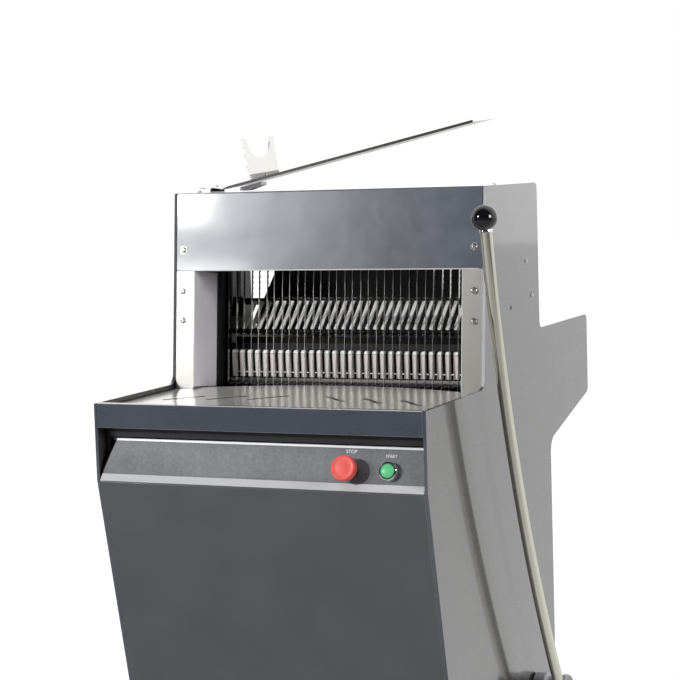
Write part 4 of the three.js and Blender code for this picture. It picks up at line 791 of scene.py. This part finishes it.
# %% [markdown]
# ## Controls
# The control strip slopes, so its parts are drawn about their own axis and then placed with one matrix:
# X along the strip, Z out of it. The emergency stop is a mushroom on a black collar.

# %% Emergency stop
CONTROL_TOP = Vector((25, -60.5))
CONTROL_FOOT = Vector((7.5, -116))
TILT = math.atan2(CONTROL_TOP.x - CONTROL_FOOT.x, CONTROL_TOP.y - CONTROL_FOOT.y)
BUTTON_SHARE = 0.65
STOP_X = 155
START_X = 221.6


def on_control(x):
    point = CONTROL_TOP.lerp(CONTROL_FOOT, BUTTON_SHARE)
    return LEVEL @ Matrix.Translation((x, point.x, point.y)) @ Matrix.Rotation(math.pi / 2 - TILT, 4, "X")


def contact_block(work):
    """The part of a button behind the strip: its neck and a square block of contacts."""
    work.turned([(0, -7.5), (10.9, -7.5), (10.9, 1), (0, 1)])
    return work.block((-15, 15), (-15, 15), (-47.5, -8))


collar = Workpiece(collar_plastic, on_control(STOP_X))
collar.turned([
    (0, 0.3), (15, 0.3), (15, 2.5), (14, 3.2), (13.4, 8.2), (12.2, 10.3), (9.6, 10.8), (9.4, 3), (0, 3),
])
contact_block(collar).done("stop_collar_body", "machine_frame", "black_plastic", 0.3, ["stop_collar"])

mushroom = Workpiece(stop_red, on_control(STOP_X))
mushroom.turned([
    (0, 9.4), (9, 9.4), (9, 17), (13, 18), (18.6, 18.4), (19.8, 19.2), (20, 20.4), (20, 28.2), (19.7, 29.4),
    (19.0, 30.2), (17.8, 30.6), (16.5, 30.6), (15.8, 30.4), (10, 30.9), (5, 31.2), (0, 31.3),
], sides=72)
mushroom.done("stop_mushroom", "stop_button", "red_plastic", 0.0, ["stop_cap"])
print("the strip tilts by", round(math.degrees(TILT), 1), "degrees")

# %% [markdown]
# The start button is green, slightly domed, and sits in a bright bezel.

# %% Start button
bezel = Workpiece(chrome, on_control(START_X))
bezel.turned([
    (0, 0.3), (14.75, 0.3), (14.75, 9), (14.2, 11), (13, 12), (12.2, 12), (11.6, 11.2), (11.6, 6), (0, 6),
], sides=64)
bezel.use(collar_plastic)
contact_block(bezel).done("start_bezel_ring", "machine_frame", "stainless", 0.0, ["start_bezel"])

button = Workpiece(start_green, on_control(START_X))
button.turned([(0, 9.3), (11, 9.3), (11, 12.2), (10.4, 13), (8.5, 13.7), (5, 14.3), (0, 14.5)], sides=56)
button.done("start_dome", "start_button", "green_plastic", 0.0, ["start_cap"])
print("start button ready")

# %% [markdown]
# Small words above the two buttons say what they do. A text object can be turned into a mesh, laid on the
# strip, and made a hair thicker than the paint.

# %% Words above the buttons
def legend(word, x, height, size):
    curve = bpy.data.curves.new("legend_" + word.lower(), "FONT")
    curve.body = word
    curve.size = size
    curve.align_x = "CENTER"
    curve.extrude = 0.08
    text = add_object(curve.name, curve)
    bpy.context.view_layer.update()
    mesh = bpy.data.meshes.new_from_object(text.evaluated_get(bpy.context.evaluated_depsgraph_get()))
    bpy.data.objects.remove(text)
    mesh.transform(on_control(x) @ Matrix.Translation((0, height, 0.1)))
    mesh.materials.clear()
    mesh.materials.append(legend_ink.material)
    piece = add_object("legend_" + word.lower(), mesh)
    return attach(piece, "machine_frame")


legend("STOP", STOP_X, 27, 7.5)
legend("START", START_X, 22, 6.5)
print("two words")

# %% [markdown]
# The control strip has two bright edges: a narrow bead along its upper fold and a wider lip along its foot.
# Both are bare metal trims laid over the painted sheet.

# %% Bright trims of the control strip
def trim(name, finish, line, left_ends):
    """A strip of trim in side view; its left end follows the slanted end of the control panel."""
    outline = strip(line, 0.8)
    levels = [point.y for point in outline]
    low, high = min(levels), max(levels)
    rings = []
    for ends in (left_ends, (281.2, 281.2)):
        ring = []
        for point in outline:
            share = (point.y - low) / (high - low)
            ring.append(Vector((ends[0] + (ends[1] - ends[0]) * share, *point)))
        rings.append(ring)
    return Workpiece(finish).loft(rings).done(name, "machine_frame", "painted_control", 0.25)


trim("control_trim_top", bead_metal, [(26.4, -60.0), (24.2, -60.2), (23.3, -63.2)], (-260.5, -259.5))
trim("control_trim_foot", trim_and_fold_highlight, [(0.2, -126.6), (-0.4, -125.6), (7.0, -115.6)], (-281, -280.5))
tab = Workpiece(trim_and_fold_highlight)
tab.block((-280.5, -262), (38.4, 39.4), (-65.6, -61))
tab.done("control_tab", "machine_frame", "painted_control", 0.3)
print("trims laid")

# %% [markdown]
# ## Screws
# Button head screws with a hexagon socket hold the columns and the top panel, and smaller ones the sides
# and the rear. A screw is turned like any round part, and its last rings are hexagons, which sink the
# socket into the head. A dark plug closes one more hole in each side.

# %% Screws that show
def screw(work, centre, out, radius=5.5, finish=screw_steel):
    unit = radius / 5.5
    work.use(finish).turned([
        (0, 0), (6.8 * unit, 0), (6.8 * unit, 0.9), (5.5 * unit, 0.9), (5.3 * unit, 1.8), (4.4 * unit, 2.9),
        (3.0 * unit, 3.4), (2.4 * unit, 3.4), (2.2 * unit, 3.4), (2.2 * unit, 1.4), (0, 1.4),
    ], centre, out, 36, corners=6)


column_screws = Workpiece(screw_steel, LEANING)
for side in (-1, 1):
    for height in (110.5, 161.5, 233):
        screw(column_screws, (side * 268, -0.1, height), (0, -1, 0))
column_screws.done("front_screws", "machine_frame", "stainless")

SIDE_FACE = 287.4
plug = [(0, 0), (3.4, 0), (3.4, 0.5), (0, 0.5)]
side_screws = Workpiece(screw_steel)
for depth, height in ((498, 196), (527, 135)):
    for side in (-1, 1):
        screw(side_screws, (side * SIDE_FACE, depth, height), (side, 0, 0), 3.6, bead_metal)
for side in (-1, 1):
    side_screws.use(collar_plastic).turned(plug, (side * SIDE_FACE, 411, 122), (side, 0, 0), 24)
side_screws.done("side_screws", "machine_frame", "stainless")

rear_screws = Workpiece(screw_steel)
for x in (-260, 0, 260):
    for height in (-770, -480, -180):
        screw(rear_screws, (x, 617.9, height), (0, 1, 0), 4.5)
    screw(rear_screws, (x, 566.9, 300), (0, 1, 0), 4.0)
for x in (-276, 276):
    screw(rear_screws, (x, 371, 330.1), (0, 0, 1), 3.4, bead_metal)
rear_screws.done("rear_screws", "machine_frame", "stainless")
print("screws set")

# %% [markdown]
# ## Bagging scoop
# On the tower stands a long shallow tray of thin sheet that holds a bag open, with a forked plate across
# its low end. In the photograph it rises to the right. Its front lip is turned down and is given a near black
# colour, painted shade on the same sheet as the tray, and it swivels on a round foot.

# %% The tray
SLOPE = math.radians(12.15)
TILT_RISE = math.tan(math.radians(3.15))
SCOOP_Z = 335
BEND_X = -203
TRAY_END = 472.5
FRONT, REAR = 322, 440
PIVOT_X, MIDDLE = -244.5, 381
tilted = Matrix.Identity(4)
tilted[2][1] = TILT_RISE
tilted[2][3] = -FRONT * TILT_RISE
TRAY = LEVEL @ tilted


def tray_point(distance, lift=0.0):
    """A point of the tray's line, in X and Z, lifted square to the slope."""
    return (
        BEND_X + distance * math.cos(SLOPE) - lift * math.sin(SLOPE),
        SCOOP_Z + distance * math.sin(SLOPE) + lift * math.cos(SLOPE),
    )


tray = Workpiece(tray_steel, TRAY)
tray_line = [(BEND_X - 4, SCOOP_Z + 1), (BEND_X, SCOOP_Z + 1), tray_point(4, 1), tray_point(TRAY_END, 1)]
tray.plate_y(strip(tray_line, 1.8), (FRONT + 0.4, REAR))
tongue = [(BEND_X, FRONT), (BEND_X, REAR)]
for turn in range(70, 291, 10):
    angle = math.radians(turn)
    tongue.append((PIVOT_X + 34 * math.cos(angle), MIDDLE + 34 * math.sin(angle)))
tray.plate_z(tongue, (SCOOP_Z + 0.1, SCOOP_Z + 1.9))
lip = [(0, 0.1), (10, -1.25), (TRAY_END, -1.25), (TRAY_END, 3.25), (10, 3.25), (0, 1.9)]
tray.use(tray_lip_painted_shade).plate_y([tray_point(*point) for point in lip], (FRONT, FRONT + 1.6))
tray.done("scoop_tray_sheet", "scoop", "stainless", 0.3, ["scoop_tray"])
print("the tray ends at", [round(value, 1) for value in tray_point(TRAY_END)])

# %% [markdown]
# The tray stands on a round foot, on which it turns, and on a bent bracket under its low end.

# %% Foot and bracket
foot = Workpiece(collar_plastic)
foot.turned([(0, 0.4), (13, 0.4), (13, 3.4), (12, 4.4), (11, 6.6), (0, 6.6)], (PIVOT_X, MIDDLE, 330))
foot.use(chrome).turned([(0, 0), (7, 0), (7, 1.2), (5, 3), (0, 3.6)], (PIVOT_X, MIDDLE, SCOOP_Z + 4.4))
bracket = [(-190, 331.4), (-176, 331.4), (-148, 340.6), (-148, 346.0), (-189, 337.4)]
foot.use(bracket_enamel).plate_y(bracket, (MIDDLE - 20, MIDDLE + 2))
foot.done("scoop_foot", "scoop", "stainless", 0.3)
print("foot and bracket ready")

# %% [markdown]
# The fork's notch is a smooth U. Half of it is drawn as points on an ellipse and mirrored. The plate leans
# back a little, so each point moves back with its height.

# %% The fork
FORK_AT = 54.2
FORK_LEAN = math.tan(math.radians(4.5))


def fork_outline():
    notch = []
    for turn in range(0, 91, 10):
        angle = math.radians(turn)
        notch.append((45 * math.sin(angle) ** 0.91, 74 - 34 * max(0.0, math.cos(angle)) ** 0.91))
    right = [(56, 2.4), (57.5, 12), (63.5, 74), (61, 75.2), (48, 75)]
    outline = right + [(y, z) for y, z in reversed(notch)] + [(-y, z) for y, z in notch[1:]]
    outline += [(-y, z) for y, z in reversed(right)]
    return [(y + z * FORK_LEAN, z) for y, z in outline]


fork_x, fork_z = tray_point(FORK_AT)
fork_place = TRAY @ Matrix.Translation((fork_x, MIDDLE, fork_z)) @ Matrix.Rotation(-SLOPE, 4, "Y")
fork = Workpiece(fork_steel, fork_place)
fork.plate_x(fork_outline(), (-1, 1))
fork.use(band_steel).block((1.1, 3.4), (-55, 56), (2.2, 12.5))
fork.use(screw_steel).turned([(0, 0), (2.6, 0), (2.4, 1.2), (1.2, 1.7), (0, 1.7)], (3.4, 0, 7), (1, 0, 0), 24)
fork.done("scoop_fork_plate", "scoop", "stainless", 0.3, ["scoop_fork"])
print(len(fork_outline()), "points round the fork")

# %% [markdown]
# ## Flap, handle and feet
# A dark flap hangs from a rod at the back of the tower. It is narrower at the top, with a rolled lower
# edge that stiffens it and a short lip under the roll.

# %% The flap
flap = Workpiece(flap_plastic)
flap.plate_y([(-272, 80), (272, 80), (218, 184), (-218, 184)], (559.2, 560.8))
flap.tube([(-271, 560, 81.5), (271, 560, 81.5)], 2.6, 12)
flap.plate_y([(-262, 70), (262, 70), (264, 80), (-264, 80)], (559.4, 560.6))
for x in (-150, 0, 150):
    flap.block((x - 16, x + 16), (557.6, 562.4), (176, 192))
flap.use(chrome).tube([(-275, 560, 190), (275, 560, 190)], 5, 20)
flap.done("hanging_flap", "flap", "dark_flap", 0.5, ["infeed_flap"])
print("flap hung")

# %% [markdown]
# The drawer's handle is a round bar with two bends. Straight runs and quarter circles give its path.

# %% The drawer's handle
HANDLE_HALF = 75
HANDLE_Z = -695.25


def handle_path(wall=101.6, reach=26, bend=14):
    path = [(-HANDLE_HALF, wall, HANDLE_Z), (-HANDLE_HALF, wall - reach + bend, HANDLE_Z)]
    for turn in range(0, 91, 15):
        angle = math.radians(turn)
        x = -HANDLE_HALF + bend * (1 - math.cos(angle))
        path.append((x, wall - reach + bend * (1 - math.sin(angle)), HANDLE_Z))
    return path + [(-x, y, z) for x, y, z in reversed(path)]


handle = Workpiece(tray_steel)
handle.tube(handle_path(), 6, 24)
rose = [(0, 0), (10, 0), (10, 1.4), (8.5, 2.4), (0, 2.4)]
for side in (-1, 1):
    handle.turned(rose, (side * HANDLE_HALF, 101.8, HANDLE_Z), (0, -1, 0), 36)
handle.done("drawer_bar", "drawer", "stainless", 0.0, ["drawer_handle"])
print("handle bent")

# %% [markdown]
# Four levelling feet stand under the base pan: a rubber pad, a threaded stem and a lock nut. The thread is
# a stack of small ridges, which is all that the eye can tell from a real thread at this size.

# %% Levelling feet
FLOOR = -880
THREADS = 18
THREAD_PITCH = 2.5


def levelling_foot(name, x, y):
    foot = Workpiece(foot_rubber)
    ground = (x, y, FLOOR)
    foot.turned([(0, 0), (28.5, 0), (30, 2), (30, 6), (27, 10), (16, 13.5), (0, 14)], ground)
    foot.use(machined_steel)
    ridges = []
    for step in range(THREADS):
        ridges += [(7.2, 13 + step * THREAD_PITCH), (8, 14.25 + step * THREAD_PITCH)]
    foot.turned([(0, 13), *ridges, (7.2, 59), (0, 59)], ground, sides=20)
    nut = [(0, 57.5), (13.6, 57.5), (14, 58.5), (14, 66.5), (13.6, 67.6), (0, 67.6)]
    foot.turned(nut, ground, sides=6)
    return foot.done(name + "_assembly", "machine_frame", "black_rubber", 0.3, [name])


for end, y in (("front", 140), ("rear", 582)):
    for side, x in (("left", -235), ("right", 235)):
        levelling_foot(f"foot_{end}_{side}", x, y)
print("four feet")

# %% [markdown]
# ## Motor
# Inside, a small motor drives the crank through a belt. Its body has cooling ribs all round, a terminal box
# on top and a cast foot. Nobody sees it until the machine is opened, but a model of a machine should have
# its motor.

# %% Motor with ribs
motor_low, motor_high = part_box("motor")
axis_y = 528
axis_z = (motor_high.z - CORNER.z) / MM - 60
motor = Workpiece(motor_enamel)
rings = [(0, 0), (20, 0), (22, -4), (52, -6), (56, -14)]
for rib in range(20):
    start = -20 - rib * 7
    rings += [(55, start), (60, start - 1), (60, start - 3), (55, start - 4)]
rings += [(56, -166), (58, -170), (58, -184), (50, -190), (0, -190)]
motor.turned(rings, (-36, axis_y, axis_z), (1, 0, 0), 56)
foot_level = (motor_low.z - CORNER.z) / MM
motor.block((-178, -84), (axis_y - 45, axis_y + 45), (foot_level, foot_level + 10))
for y in (axis_y - 36, axis_y + 28):
    motor.block((-174, -88), (y, y + 8), (foot_level + 8, axis_z - 40))
motor.use(collar_plastic).block((-160, -102), (axis_y - 26, axis_y + 26), (axis_z + 50, axis_z + 59.5))
motor.done("drive_motor", "machine_frame", "motor_paint", 0.4, ["motor"])
print("motor axis", round(axis_z, 1), "mm below the corner")

# %% [markdown]
# ## Studio
# The photograph was taken on white. The camera sees the world and the floor as nearly white, but only a
# weak ambient light from the world reaches the machine. Shiny pieces mirror a white wall behind the machine
# and the dark room on the camera's side. That is why the front looks dark and the right side pale, though
# their enamels are almost equally dark. The floor glows a little less near the machine, to show a shadow.

# %% World and floor
AMBIENT = 0.08
ROOM_MIRRORED = 0.03
WALL_MIRRORED = 1.28
FLOOR_GLOW = (0.90, 0.98)
FLOOR_HALF = 24.0
world = bpy.data.worlds.new("studio")
bpy.context.scene.world = world
sky = Network(world, "Background")
seen = sky.ray("Camera")
mirrored = sky.ray("Glossy")
through = sky.ray("Transmission")
direction = sky.node("ShaderNodeTexCoord", output="Generated")
rearward = sky.node("ShaderNodeSeparateXYZ", {}, {0: direction}, output="Y")
behind = sky.ease(rearward, -0.35, 0.35, ROOM_MIRRORED, WALL_MIRRORED)
sky.set({
    "Color": (1, 1, 1, 1),
    "Strength": seen + through + mirrored * behind + (1 - (seen + through + mirrored)) * AMBIENT,
})

floor_finish = Finish("studio_floor", (0.42, 0.42, 0.42), 0.9)
seen = floor_finish.ray("Camera")
mirrored = floor_finish.ray("Glossy")
depth = floor_finish.node("ShaderNodeSeparateXYZ", {}, {0: floor_finish.place}, output="Y")
pale = floor_finish.ease(depth, -1.2, 0.8, 0.05, 0.74)
away = floor_finish.node(
    "ShaderNodeVectorMath", {"operation": "LENGTH"}, {0: floor_finish.place}, output="Value",
)
glow = floor_finish.ease(away, 1.0, 4.0, *FLOOR_GLOW)
floor_finish.set({
    "Emission Color": floor_finish.node("ShaderNodeMix", {"data_type": "RGBA"}, {
        0: seen * glow + mirrored * pale, 6: (0, 0, 0, 1), 7: (1, 1, 1, 1),
    }, output=2),
    "Emission Strength": 1.0,
})
floor_shape = bmesh.new()
bmesh.ops.create_grid(floor_shape, x_segments=1, y_segments=1, size=FLOOR_HALF)
floor_mesh = bpy.data.meshes.new("studio_floor")
floor_shape.to_mesh(floor_mesh)
floor_shape.free()
floor = add_object("studio_floor", floor_mesh)
floor_mesh.materials.append(floor_finish.material)
bpy.context.scene.view_settings.view_transform = "Standard"
print("studio ready")

# %% [markdown]
# Five lamps share the work, because a reflection and the light that it comes with have to be set apart.
# The key box at the front left is only mirrored: as a highlight on the black ball and in the upper left
# corner of the top panel. The small low box is only mirrored too, in the left column. The right box is
# mirrored as the ball's second highlight, and lights the right side. The front lamp reaches in between the
# blades, and the top lamp lights the table; those two would add highlights that the photograph doesn't
# have, so they are hidden from reflections.

# %% Lamps
def lamp(name, place, size, power, mirrored=True, lights=True, target=(0, 200, 60)):
    data = bpy.data.lights.new(name, "AREA")
    data.shape = "SQUARE"
    data.size = size
    data.energy = power
    piece = add_object(name, data)
    piece.visible_glossy = mirrored
    piece.visible_diffuse = lights
    start = LEVEL @ Vector(place)
    aim = (LEVEL @ Vector(target)) - start
    piece.matrix_world = Matrix.Translation(start) @ aim.to_track_quat("-Z", "Y").to_matrix().to_4x4()
    return piece


lamp("key_box", (-2109, -2703, 1101), 0.5, 44, lights=False)
lamp("low_box", (-1834, -2640, 460), 0.4, 5, lights=False, target=(-265, 275, 80))
lamp("right_box", (2800, -750, 800), 0.9, 40)
lamp("front_lamp", (-1300, -3000, 1050), 0.16, 104, mirrored=False)
lamp("top_lamp", (-300, -1900, 2400), 0.8, 18, mirrored=False)
print("five lamps")
